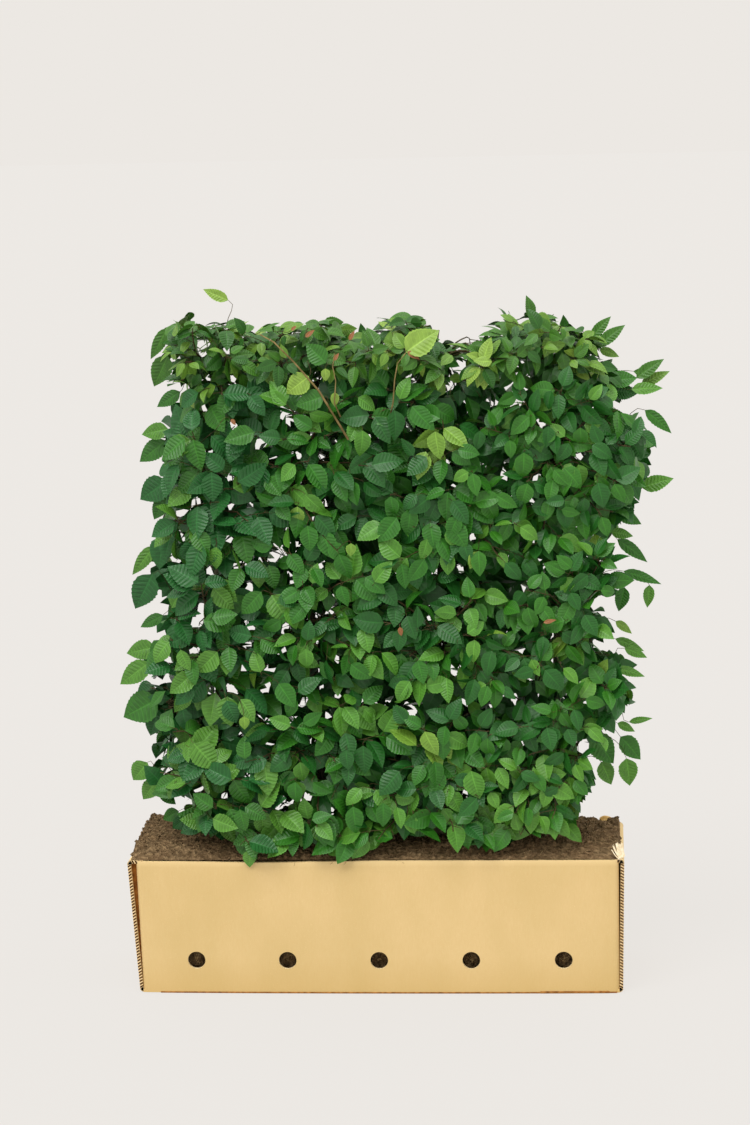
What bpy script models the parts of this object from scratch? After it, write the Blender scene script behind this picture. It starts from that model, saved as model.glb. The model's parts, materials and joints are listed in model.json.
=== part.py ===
"""European hornbeam hedge unit: four stems grown together in a filled cardboard trough.

Metres, +Z up. The origin is the centre of the trough's underside, and -Y is the front.
"""

import math
import random

import bmesh
import bpy
from mathutils import Quaternion, Vector, noise
from mathutils.bvhtree import BVHTree

SEED = 41
GREEN_BAND = 0.2  # foliage further out than this has the green of its end of the row
CLEAR = 0.0003  # gap between pieces that touch on the real plant
FLAT_ANGLE = 0.002  # faces that turn less than this are one flat face
MERGE_DISTANCE = 0.000002

# Trough: one sheet of corrugated board, folded
TROUGH_LENGTH = 1.0
TROUGH_DEPTH = 0.30
TROUGH_HEIGHT = 0.285
BOARD = 0.007
CORNER_RADIUS = 0.010
CORNER_STEPS = 3
ROLL_RADIUS = 0.005
FLAP_LENGTH = 0.11
LAP = 0.0005  # how far touching boards are sunk into each other, so that they make one solid
BASE_TONGUE = 0.03  # how far an end board runs on into the base
END_LEAN = {-1: 0.010, 1: 0.004}  # how far each end stands out at the top
END_BOARD_DEPTH = 0.294
HOLE_COUNT = 5
HOLE_SPACING = 0.192
HOLE_DIAMETER = 0.037
HOLE_HEIGHT = 0.0713
HOLE_SIDES = 12

# Soil
SOIL_RISE = 0.013  # how far the middle stands above the edges
SOIL_EDGE = 0.005  # how far the edges stand above the rim
SOIL_ROUGHNESS = 0.004
SOIL_BUMPS = (14, 22)  # how quickly the bumps follow each other along and across
SOIL_SHOULDER = 6  # the higher, the more suddenly the heap falls off at its ends
SOIL_COLUMN = 0.06
SOIL_COLUMNS = 15
SOIL_ROWS = (0.03, 0.09)
SOIL_OVERHANG = 0.497

# Stems
STEM_SPACING = 0.24
STEM_COUNT = 4
STEM_LEANS = (0.052, -0.022, 0.014, 0.020)  # sideways travel from foot to tip
STEM_TOP = 1.205
STEM_TOP_STEP = 0.010
STEM_TOP_PHASE = 2.4
STEM_FOOT_RADIUS = 0.0125
STEM_TIP_RADIUS = 0.0040
FLARE_HEIGHT = 0.05
FLARE = 0.75  # extra share of the radius at the ground
FLARE_FALL = 3
RING_CROWDING = 1.25  # above 1 the rings crowd towards the foot
STEM_RINGS = 13
STEM_SIDES = 7
SWAY_X = 0.008
SWAY_Y = 0.003
SWAY_WAVES = (5.5, 7.0)
SWAY_PHASES = (0.4, 1.7)  # first stem's, and each next stem's step
SWAY_START = 3  # the sway is full at one third of the height

# Crown outline, seen from the front: (height, x) for the ends, (x, height) for top and foot
LEFT_EDGE = ((0.34, -0.520), (0.45, -0.535), (0.66, -0.548), (0.93, -0.505), (1.17, -0.488), (1.42, -0.450))
RIGHT_EDGE = (
    (0.36, 0.490), (0.44, 0.550), (0.85, 0.585), (1.04, 0.590), (1.20, 0.622), (1.32, 0.605),
    (1.42, 0.520),
)
TOP_EDGE = (
    (-0.45, 1.400), (-0.25, 1.418), (0.08, 1.418), (0.18, 1.372), (0.32, 1.425), (0.50, 1.390),
    (0.61, 1.320),
)
FOOT_EDGE = ((-0.54, 0.370), (-0.40, 0.332), (-0.30, 0.316), (0.32, 0.316), (0.44, 0.345), (0.58, 0.430))
CROWN_HALF_DEPTH = 0.182
CROWN_TOP_HALF_DEPTH = 0.150
CROWN_TOP_STARTS = 1.05
CROWN_TOP_RUN = 0.37  # height over which the crown thins to its top
CROWN_END_THINNING = 0.16
CROWN_HALF_LENGTH = 0.60
MIDDLE_GAP = 0.021  # half of the slot between front and back foliage, where stems and boughs run

# Masses of foliage: middle points before the seeded shift
LEVELS = (("low", 0.460), ("middle", 0.760), ("high", 1.055))
LEVEL_STAGGER = 0.035
SIDE_MIDDLE = 0.095
TOP_MIDDLE = 1.322
SPREAD = 1.04  # how far masses stand apart, against their stems
SIDE_TILT = 0.15  # how far front and back masses face up
NEIGHBOUR_RANGE = 0.75
END_LEVELS = (("low", 0.600, 0.060), ("high", 1.010, 0.140))  # and how far below its bough starts
END_MIDDLE = {-1: -0.475, 1: 0.515}
END_LIMIT = {-1: -0.395, 1: 0.420}
SHIFT_X = 0.022
SHIFT_Z = 0.025
SPACE_MARGIN = 0.0015

BOUGH_SIDES = 5
BOUGH_ROOT_RADIUS = 0.0060
BOUGH_TIP_RADIUS = 0.0036
BOUGH_DROP = 0.085  # how far below its mass a bough leaves the stem
BOUGH_SAG = 0.10
BOUGH_TIP_DROP = 0.030
BOUGH_TIP_SHARE = 0.20  # how far towards its mass's middle the tip goes
BOUGH_TIP_BEND = 0.35  # how far the tip stays towards its stem
STALK_DROP = 0.050  # where there is no bough, how far below its mass the stalk starts
STALK_KNEE = 0.40
STALK_END = 0.25

LEAF_LAYER = 0.046  # depth of the leaves that stand out of a core
WALL_LAYER = 0.010  # gap between a core and the next mass's share of the crown
FARTHEST = 0.6
HALVINGS = 16
CORE_LEAST_SHARE = 0.50
CORE_BUMP = 0.004
OUTWARD_PULL = 0.8  # how far twigs and leaves turn to the crown's outside
TWIGS_PER_MASS = 3
TWIG_ROOT_RADIUS = 0.0045
TWIG_TIP_RADIUS = 0.0030
TWIG_SUNK = 0.012
TWIG_END = 0.012  # how far a twig's tip stays inside the outline
SIDE_LEAF_SHARES = (0.30,)
LEAVES_PER_MASS = 17
CORE_LEAF_PLACES = 80
LEAF_LENGTHS = (0.080, 0.125)
LEAF_HALF_WIDTH = 0.31
LEAF_THICKNESS = 0.10  # of the half width
LEAF_WIDEST = 0.42
LEAF_DROOP = 0.05
LEAF_STALK = 0.0030
LEAF_ROOT = 0.005
LEAF_CORE_ROOT = 0.012
LEAF_TRIES = 40
LEAF_SWING = 0.45
LEAF_FIRST_SWING = 0.4
LEAF_LOOSE = 1.6  # how much wider the last tries swing
LEAF_ANY_HAND = 4
LEAF_ROLL = 0.14
LEAST_HANG = 0.3
CORE_LEAF_LIFTS = (0.16, 0.62)
TWIG_LEAF_LIFTS = (-0.30, 0.10)
BLADE_START = 0.35
LIMB_MARGIN = 0.004
TWIG_LIMB_MARGIN = 0.012
LEAF_FACES = (
    (0, 1, 2), (0, 1, 4), (0, 4, 3), (0, 2, 5), (0, 5, 3),
    (1, 2, 5), (1, 5, 4), (3, 4, 6), (3, 5, 6), (4, 5, 6),
)


def linear(red, green, blue):
    """Base colour from the 0 to 255 values that a picture shows."""
    values = []
    for value in (red, green, blue):
        share = value / 255
        values.append(share / 12.92 if share <= 0.04045 else ((share + 0.055) / 1.055) ** 2.4)
    return (*values, 1.0)


def make_material(name, colour, roughness):
    material = bpy.data.materials.new(name)
    material.use_nodes = True
    shader = material.node_tree.nodes["Principled BSDF"]
    shader.inputs["Base Color"].default_value = linear(*colour)
    shader.inputs["Roughness"].default_value = roughness
    shader.inputs["Metallic"].default_value = 0.0
    material.diffuse_color = linear(*colour)
    return material


def add_object(name, points, faces, material=None):
    """One closed mesh of triangles, with its faces turned outward."""
    mesh = bpy.data.meshes.new(name)
    mesh.from_pydata([tuple(point) for point in points], [], faces)
    edit = bmesh.new()
    edit.from_mesh(mesh)
    bmesh.ops.recalc_face_normals(edit, faces=edit.faces)
    bmesh.ops.triangulate(edit, faces=edit.faces)
    edit.to_mesh(mesh)
    edit.free()
    obj = bpy.data.objects.new(name, mesh)
    bpy.context.scene.collection.objects.link(obj)
    if material:
        mesh.materials.append(material)
    return obj


def keep_largest_shell(mesh):
    """Drops loose scraps, and the inner walls of any sealed hollow, which fills it."""
    edit = bmesh.new()
    edit.from_mesh(mesh)
    edit.verts.ensure_lookup_table()
    waiting = set(edit.verts)
    shells = []
    while waiting:
        shell = {waiting.pop()}
        front = set(shell)
        while front:
            front = {e.other_vert(v) for v in front for e in v.link_edges} - shell
            shell |= front
        waiting -= shell
        shells.append(shell)
    shells.sort(key=lambda shell: sum(e.calc_length() for v in shell for e in v.link_edges))
    scraps = [v for shell in shells[:-1] for v in shell]
    bmesh.ops.delete(edit, geom=scraps, context="VERTS")
    edit.to_mesh(mesh)
    edit.free()


def combine(base, others, operation):
    """Applies one Boolean with a whole collection, and removes the collection's objects."""
    collection = bpy.data.collections.new(base.name + "_tools")
    bpy.context.scene.collection.children.link(collection)
    for other in others:
        bpy.context.scene.collection.objects.unlink(other)
        collection.objects.link(other)
    modifier = base.modifiers.new("combine", "BOOLEAN")
    modifier.operand_type = "COLLECTION"
    modifier.collection = collection
    modifier.operation = operation
    modifier.solver = "EXACT"
    bpy.context.view_layer.update()
    evaluated = base.evaluated_get(bpy.context.evaluated_depsgraph_get())
    result = bpy.data.meshes.new_from_object(evaluated)
    base.modifiers.clear()
    base.data = result
    for other in others:
        bpy.data.objects.remove(other, do_unlink=True)
    bpy.data.collections.remove(collection)
    keep_largest_shell(base.data)


def merge_flat_faces(obj):
    """Joins neighbouring faces that lie in one plane, and drops points along straight edges."""
    edit = bmesh.new()
    edit.from_mesh(obj.data)
    bmesh.ops.remove_doubles(edit, verts=edit.verts, dist=MERGE_DISTANCE)
    bmesh.ops.dissolve_limit(
        edit, angle_limit=FLAT_ANGLE, verts=edit.verts, edges=edit.edges, use_dissolve_boundaries=False
    )
    bmesh.ops.triangulate(edit, faces=edit.faces)
    edit.to_mesh(obj.data)
    edit.free()


def profile_value(pairs, key):
    """Reads a piecewise straight profile, held level past both ends."""
    if key <= pairs[0][0]:
        return pairs[0][1]
    for (k0, v0), (k1, v1) in zip(pairs, pairs[1:]):
        if key <= k1:
            return v0 + (v1 - v0) * (key - k0) / (k1 - k0)
    return pairs[-1][1]


# Board

def rounded_path(corners, radius, steps):
    """An open flat path whose inner corners are replaced by arcs."""
    path = [Vector(corners[0])]
    for before, corner, after in zip(corners, corners[1:], corners[2:]):
        corner = Vector(corner)
        towards_before = (Vector(before) - corner).normalized()
        towards_after = (Vector(after) - corner).normalized()
        half = towards_before.angle(towards_after) / 2
        cut = radius / math.tan(half)
        centre = corner + (towards_before + towards_after).normalized() * radius / math.sin(half)
        start = corner + towards_before * cut - centre
        end = corner + towards_after * cut - centre
        turn = start.angle(end)
        for step in range(steps + 1):
            share = step / steps
            blend = start * math.sin((1 - share) * turn) + end * math.sin(share * turn)
            path.append(centre + blend / math.sin(turn))
    path.append(Vector(corners[-1]))
    return path


def strip_outline(path, thickness):
    """Outline of a strip of board whose middle line is the path."""
    left, right = [], []
    for index, point in enumerate(path):
        before = path[max(index - 1, 0)]
        after = path[min(index + 1, len(path) - 1)]
        incoming = (point - before).normalized() if index else (after - point).normalized()
        outgoing = (after - point).normalized() if index < len(path) - 1 else incoming
        along = (incoming + outgoing).normalized()
        side = Vector((-along.y, along.x)) * thickness / 2 / max(along.dot(incoming), 0.5)
        left.append(point + side)
        right.append(point - side)
    return left + right[::-1]


def prism(name, outline, place):
    """Solid between two copies of a flat outline; place(point, end) puts a point of end 0 or 1."""
    count = len(outline)
    points = [place(point, 0) for point in outline] + [place(point, 1) for point in outline]
    faces = [tuple(range(count)), tuple(range(2 * count - 1, count - 1, -1))]
    for i in range(count):
        j = (i + 1) % count
        faces.append((i, j, count + j, count + i))
    return add_object(name, points, faces)


def rectangle(half_x, half_y):
    return [Vector((x * half_x, y * half_y)) for x, y in ((-1, -1), (1, -1), (1, 1), (-1, 1))]


def build_trough(material):
    half_length = TROUGH_LENGTH / 2
    half_depth = TROUGH_DEPTH / 2
    trough = prism(
        "cardboard_trough",
        rectangle(half_length - LAP, half_depth - LAP),
        lambda point, end: (point.x, point.y, BOARD * end),
    )
    pieces = []
    inset = BOARD / 2
    for side in (-1, 1):
        wall_y = side * (half_depth - inset)
        flap_y = side * (half_depth - FLAP_LENGTH)
        wall = rounded_path(
            [
                (-half_length + inset, flap_y),
                (-half_length + inset, wall_y),
                (half_length - inset, wall_y),
                (half_length - inset, flap_y),
            ],
            CORNER_RADIUS - inset,
            CORNER_STEPS,
        )
        pieces.append(
            prism(
                "wall",
                strip_outline(wall, BOARD),
                lambda point, end: (point.x, point.y, TROUGH_HEIGHT if end else LAP),
            )
        )
    roll_top = TROUGH_HEIGHT + 2 * LAP
    for side in (-1, 1):
        outer = half_length + inset - LAP
        inner = half_length - 3 * inset + LAP
        section = rounded_path(
            [
                (half_length - BASE_TONGUE, inset + LAP),
                (outer, inset + LAP),
                (outer + END_LEAN[side], roll_top - inset),
                (inner, roll_top - inset),
                (inner, inset),
            ],
            ROLL_RADIUS,
            CORNER_STEPS,
        )
        pieces.append(
            prism(
                "end",
                strip_outline(section, BOARD),
                lambda point, end, side=side: (
                    side * point.x,
                    (end - 0.5) * END_BOARD_DEPTH,
                    point.y,
                ),
            )
        )
    combine(trough, pieces, "UNION")
    cutters = []
    first = -(HOLE_COUNT - 1) / 2
    for index in range(HOLE_COUNT):
        centre_x = (first + index) * HOLE_SPACING
        ring = []
        for step in range(HOLE_SIDES):
            angle = 2 * math.pi * step / HOLE_SIDES
            offset = Vector((math.cos(angle), math.sin(angle))) * HOLE_DIAMETER / 2
            ring.append(Vector((centre_x, HOLE_HEIGHT)) + offset)
        for side in (-1, 1):
            cutters.append(
                prism(
                    "hole",
                    ring,
                    lambda point, end, side=side: (
                        point.x,
                        side * (half_depth + BOARD * (1 - 3 * end)),
                        point.y,
                    ),
                )
            )
    combine(trough, cutters, "DIFFERENCE")
    merge_flat_faces(trough)
    trough.data.materials.clear()
    trough.data.materials.append(material)
    return trough


# Soil

def soil_height(x, y):
    """Top of the soil: highest along the middle, with level pads under the stems."""
    half_depth = TROUGH_DEPTH / 2 - BOARD
    across = 1 - (y / half_depth) ** 2
    along = 1 - (abs(x) / SOIL_OVERHANG) ** SOIL_SHOULDER
    height = TROUGH_HEIGHT + SOIL_EDGE + SOIL_RISE * max(across, 0) * max(along, 0)
    if abs(y) <= SOIL_ROWS[0]:
        return height
    bump = noise.noise(Vector((x * SOIL_BUMPS[0], y * SOIL_BUMPS[1], SEED)))
    return height + SOIL_ROUGHNESS * bump * (1 + max(across, 0)) / 2


def soil_pad_height():
    return soil_height(0.0, SOIL_ROWS[0])


def build_soil(material):
    half_depth = TROUGH_DEPTH / 2 - BOARD - CLEAR
    cavity = TROUGH_LENGTH / 2 - 2 * BOARD + LAP - CLEAR
    first = -SOIL_COLUMNS / 2 * SOIL_COLUMN
    columns = [first + index * SOIL_COLUMN for index in range(SOIL_COLUMNS + 1)]
    columns = [-SOIL_OVERHANG, -cavity] + columns + [cavity, SOIL_OVERHANG]
    rows = [-half_depth] + [-row for row in SOIL_ROWS[::-1]] + list(SOIL_ROWS) + [half_depth]
    pad = soil_pad_height()
    top = []
    for y in rows:
        for x in columns:
            level = abs(y) <= SOIL_ROWS[0] and abs(x) < columns[-2]
            top.append((x, y, pad if level else soil_height(x, y)))
    rim = TROUGH_HEIGHT + 2 * LAP + CLEAR
    width = len(columns)
    faces = []
    for row in range(len(rows) - 1):
        for column in range(width - 1):
            a = row * width + column
            faces.append((a, a + 1, a + width + 1, a + width))
    loop = list(range(width))
    loop += [row * width + width - 1 for row in range(1, len(rows))]
    loop += [(len(rows) - 1) * width + column for column in range(width - 2, -1, -1)]
    loop += [row * width for row in range(len(rows) - 2, 0, -1)]
    start = len(top)
    bottom = [(top[index][0], top[index][1], rim) for index in loop]
    count = len(loop)
    for i in range(count):
        j = (i + 1) % count
        faces.append((loop[i], loop[j], start + j, start + i))
    faces.append(tuple(range(start, start + count)))
    heap = add_object("soil", top + bottom, faces)
    block = prism(
        "fill",
        rectangle(cavity, half_depth - LAP),
        lambda point, end: (point.x, point.y, rim + 2 * LAP if end else BOARD + LAP + CLEAR),
    )
    combine(heap, [block], "UNION")
    merge_flat_faces(heap)
    heap.data.materials.clear()
    heap.data.materials.append(material)
    return heap


# Limbs

def tube(path, radii, sides, level_foot=False, twist=0.0):
    """Points and faces of a closed tapering tube round a path."""
    points, faces = [], []
    along = (path[1] - path[0]).normalized()
    across = along.orthogonal().normalized()
    for index, centre in enumerate(path):
        before = path[max(index - 1, 0)]
        after = path[min(index + 1, len(path) - 1)]
        along = (after - before).normalized()
        if level_foot and index == 0:
            along = Vector((0, 0, 1))
        across = (across - along * across.dot(along)).normalized()
        other = along.cross(across)
        for step in range(sides):
            angle = twist + 2 * math.pi * step / sides
            offset = across * math.cos(angle) + other * math.sin(angle)
            points.append(centre + offset * radii[index])
    for index in range(len(path) - 1):
        low, high = index * sides, (index + 1) * sides
        for step in range(sides):
            after = (step + 1) % sides
            faces.append((low + step, low + after, high + after, high + step))
    faces.append(tuple(range(sides)))
    last = (len(path) - 1) * sides
    faces.append(tuple(range(last + sides - 1, last - 1, -1)))
    return points, faces


class Limb:
    """A tapering limb: its middle line, its radii and how many sides it has."""

    def __init__(self, name, path, radii, sides, level_foot=False):
        self.name = name
        self.path = path
        self.radii = radii
        self.sides = sides
        self.level_foot = level_foot

    def add(self, material):
        points, faces = tube(self.path, self.radii, self.sides, self.level_foot)
        return add_object(self.name, points, faces, material)

    def add_cutter(self):
        """The same limb, larger by the clear gap."""
        grown = [radius + CLEAR / math.cos(math.pi / self.sides) for radius in self.radii]
        points, faces = tube(self.path, grown, self.sides, self.level_foot)
        return add_object(self.name + "_cutter", points, faces)

    def at(self, height):
        """Where the limb's middle line passes a height."""
        for low, high in zip(self.path, self.path[1:]):
            if height <= high.z:
                break
        return low.lerp(high, (height - low.z) / (high.z - low.z))

    def nearest(self, point):
        """Distance from a point to the limb's surface."""
        best = 1.0
        for index in range(len(self.path) - 1):
            low, high = self.path[index], self.path[index + 1]
            span = high - low
            share = min(max((point - low).dot(span) / span.length_squared, 0), 1)
            radius = self.radii[index] + (self.radii[index + 1] - self.radii[index]) * share
            best = min(best, (point - low - span * share).length - radius)
        return best


def make_stem(index):
    foot_x = (index - (STEM_COUNT - 1) / 2) * STEM_SPACING
    foot_z = soil_pad_height() + CLEAR
    top = STEM_TOP + STEM_TOP_STEP * math.cos(STEM_TOP_PHASE * index)
    phase = SWAY_PHASES[0] + SWAY_PHASES[1] * index
    path, radii = [], []
    for ring in range(STEM_RINGS):
        share = (ring / (STEM_RINGS - 1)) ** RING_CROWDING
        height = foot_z + (top - foot_z) * share
        sway = math.sin(math.pi * min(share * SWAY_START, 1) / 2)
        x = foot_x + STEM_LEANS[index] * share
        x += SWAY_X * sway * math.sin(phase + SWAY_WAVES[0] * share)
        y = SWAY_Y * sway * math.sin(2 * phase + SWAY_WAVES[1] * share)
        path.append(Vector((x, y, height)))
        radius = STEM_FOOT_RADIUS + (STEM_TIP_RADIUS - STEM_FOOT_RADIUS) * share
        above_ground = (height - foot_z) / FLARE_HEIGHT
        radii.append(radius * (1 + FLARE * math.exp(-FLARE_FALL * above_ground)))
    return Limb(f"stem_{index + 1}", path, radii, STEM_SIDES, level_foot=True)


def make_bough(name, stem, leave_height, tip):
    """One tapering limb from inside the stem to the place where it enters its mass."""
    root = stem.at(leave_height)
    middle = root.lerp(tip, 0.5)
    middle.z -= BOUGH_SAG * (tip - root).length
    path = [root, middle, tip]
    radii = [BOUGH_ROOT_RADIUS, (BOUGH_ROOT_RADIUS + BOUGH_TIP_RADIUS) / 2, BOUGH_TIP_RADIUS]
    return Limb(name, path, radii, BOUGH_SIDES)


# Spaces that the masses of foliage keep to

def crown_half_depth(x, z):
    top_share = min(max((z - CROWN_TOP_STARTS) / CROWN_TOP_RUN, 0), 1)
    depth = CROWN_HALF_DEPTH + (CROWN_TOP_HALF_DEPTH - CROWN_HALF_DEPTH) * top_share ** 2
    return depth * (1 - CROWN_END_THINNING * (abs(x) / CROWN_HALF_LENGTH) ** 4)


def in_crown(point):
    x, y, z = point
    if not profile_value(LEFT_EDGE, z) < x < profile_value(RIGHT_EDGE, z):
        return False
    if not profile_value(FOOT_EDGE, x) < z < profile_value(TOP_EDGE, x):
        return False
    return abs(y) < crown_half_depth(x, z)


class Space:
    """One mass's share of the crown: flat walls half way to its neighbours, inside the outline.

    Its side is -1 in front of the stems, 1 behind them and 0 where it spans both. Its drop is
    how far below it a bough starts; without one its stalk grows straight from the stem.
    """

    def __init__(self, name, middle, outward, stem, side, drop):
        self.name = name
        self.middle = middle
        self.outward = outward.normalized()
        self.stem = stem
        self.side = side
        self.drop = drop
        self.walls = []

    def add_wall(self, point, normal):
        """Keeps to the side of a plane that the normal points away from."""
        self.walls.append((point, normal.normalized()))

    def holds(self, point):
        if not in_crown(point):
            return False
        return all((point - at).dot(normal) < -SPACE_MARGIN for at, normal in self.walls)

    def wall_reach(self, direction):
        """How far it is from the middle to the nearest wall in a direction."""
        reach = FARTHEST
        for at, normal in self.walls:
            towards = direction.dot(normal)
            if towards > 0:
                reach = min(reach, ((at - self.middle).dot(normal) - SPACE_MARGIN) / towards)
        return reach

    def crown_reach(self, direction):
        """How far it is from the middle to the crown's outline in a direction."""
        near, far = 0.0, FARTHEST
        for _ in range(HALVINGS):
            half = (near + far) / 2
            if in_crown(self.middle + direction * half):
                near = half
            else:
                far = half
        return near

    def reach(self, direction):
        return min(self.wall_reach(direction), self.crown_reach(direction))

    def core_reach(self, direction):
        walls, crown = self.wall_reach(direction), self.crown_reach(direction)
        reach = min(walls - WALL_LAYER, crown - LEAF_LAYER)
        return max(reach, min(walls, crown) * CORE_LEAST_SHARE)


def side_spaces(index, stem, rng):
    """Front and back masses of one stem, at three levels that are staggered from stem to stem."""
    spaces = []
    for side, side_name in ((-1, "front"), (1, "back")):
        for level, (level_name, height) in enumerate(LEVELS):
            stagger = LEVEL_STAGGER * (1 if (index + (side > 0)) % 2 else -1)
            z = height + stagger + rng.uniform(-SHIFT_Z, SHIFT_Z)
            x = stem.at(min(z, STEM_TOP)).x * SPREAD + rng.uniform(-SHIFT_X, SHIFT_X)
            name = f"foliage_{side_name}_{level_name}_{index + 1}"
            middle = Vector((x, side * SIDE_MIDDLE, z))
            drop = BOUGH_DROP if level else None
            space = Space(name, middle, Vector((0, side, SIDE_TILT)), stem, side, drop)
            space.add_wall(Vector((0, side * MIDDLE_GAP, 0)), Vector((0, -side, 0)))
            spaces.append(space)
    return spaces


def top_space(index, stem):
    """The mass on a stem's tip."""
    tip = stem.path[-1]
    middle = Vector((tip.x * SPREAD, 0, TOP_MIDDLE))
    space = Space(f"foliage_top_{index + 1}", middle, Vector((0, 0, 1)), stem, 0, None)
    space.add_wall(tip + Vector((0, 0, LIMB_MARGIN)), Vector((0, 0, -1)))
    return space


def end_spaces(stems):
    """Masses that close the two ends of the crown."""
    spaces = []
    for side, side_name, stem in ((-1, "left", stems[0]), (1, "right", stems[-1])):
        for level_name, height, drop in END_LEVELS:
            name = f"foliage_{side_name}_{level_name}"
            middle = Vector((END_MIDDLE[side], 0, height))
            space = Space(name, middle, Vector((side, 0, SIDE_TILT)), stem, 0, drop)
            space.add_wall(Vector((END_LIMIT[side], 0, 0)), Vector((-side, 0, 0)))
            spaces.append(space)
    return spaces


def make_spaces(stems, rng):
    spaces = []
    for index, stem in enumerate(stems):
        spaces += side_spaces(index, stem, rng)
        spaces.append(top_space(index, stem))
    spaces += end_spaces(stems)
    for index, first in enumerate(spaces):
        for second in spaces[index + 1:]:
            across = second.middle - first.middle
            if first.side * second.side < 0 or across.length > NEIGHBOUR_RANGE:
                continue
            half_way = first.middle + across / 2
            first.add_wall(half_way, across)
            second.add_wall(half_way, -across)
    return spaces


# Foliage

def spread_directions(count, outward, turn):
    """Directions spread evenly over the sphere, then drawn a little outward."""
    found = []
    for index in range(count):
        height = 1 - 2 * (index + 0.5) / count
        around = turn + index * math.pi * (3 - math.sqrt(5))
        ring = math.sqrt(1 - height * height)
        direction = Vector((ring * math.cos(around), ring * math.sin(around), height))
        found.append((direction + outward * OUTWARD_PULL).normalized())
    return found


def core_piece(space, rng):
    """A many-sided lump inside the space, which the twigs and leaves stand out of."""
    edit = bmesh.new()
    bmesh.ops.create_icosphere(edit, subdivisions=2, radius=1.0)
    for vertex in edit.verts:
        direction = vertex.co.normalized()
        bump = CORE_BUMP * rng.uniform(-1, 1)
        vertex.co = space.middle + direction * (space.core_reach(direction) + bump)
    mesh = bpy.data.meshes.new("core")
    edit.to_mesh(mesh)
    edit.free()
    obj = bpy.data.objects.new("core", mesh)
    bpy.context.scene.collection.objects.link(obj)
    return obj


def leaf_points(root, heading, facing, length, sunk):
    """Three points round the stalk, three round the widest place, and the tip."""
    across = heading.cross(facing).normalized()
    facing = across.cross(heading).normalized()
    points = []
    start = root - heading * sunk
    waist = root + heading * length * LEAF_WIDEST
    for centre, half_width in ((start, LEAF_STALK), (waist, length * LEAF_HALF_WIDTH)):
        side = across * half_width
        points += [centre + side, centre - side, centre + facing * half_width * LEAF_THICKNESS]
    points.append(root + heading * length - facing * length * LEAF_DROOP)
    return points


def leaf_fits(points, space, limbs):
    left, right, ridge, tip = points[3:]
    tests = [tip, left, right, ridge, left.lerp(tip, 0.5), right.lerp(tip, 0.5)]
    tests += [points[0].lerp(left, 0.5), points[1].lerp(right, 0.5)]
    if not all(space.holds(point) for point in tests):
        return False
    return all(limb.nearest(point) > LIMB_MARGIN for limb in limbs for point in tests)


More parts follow.
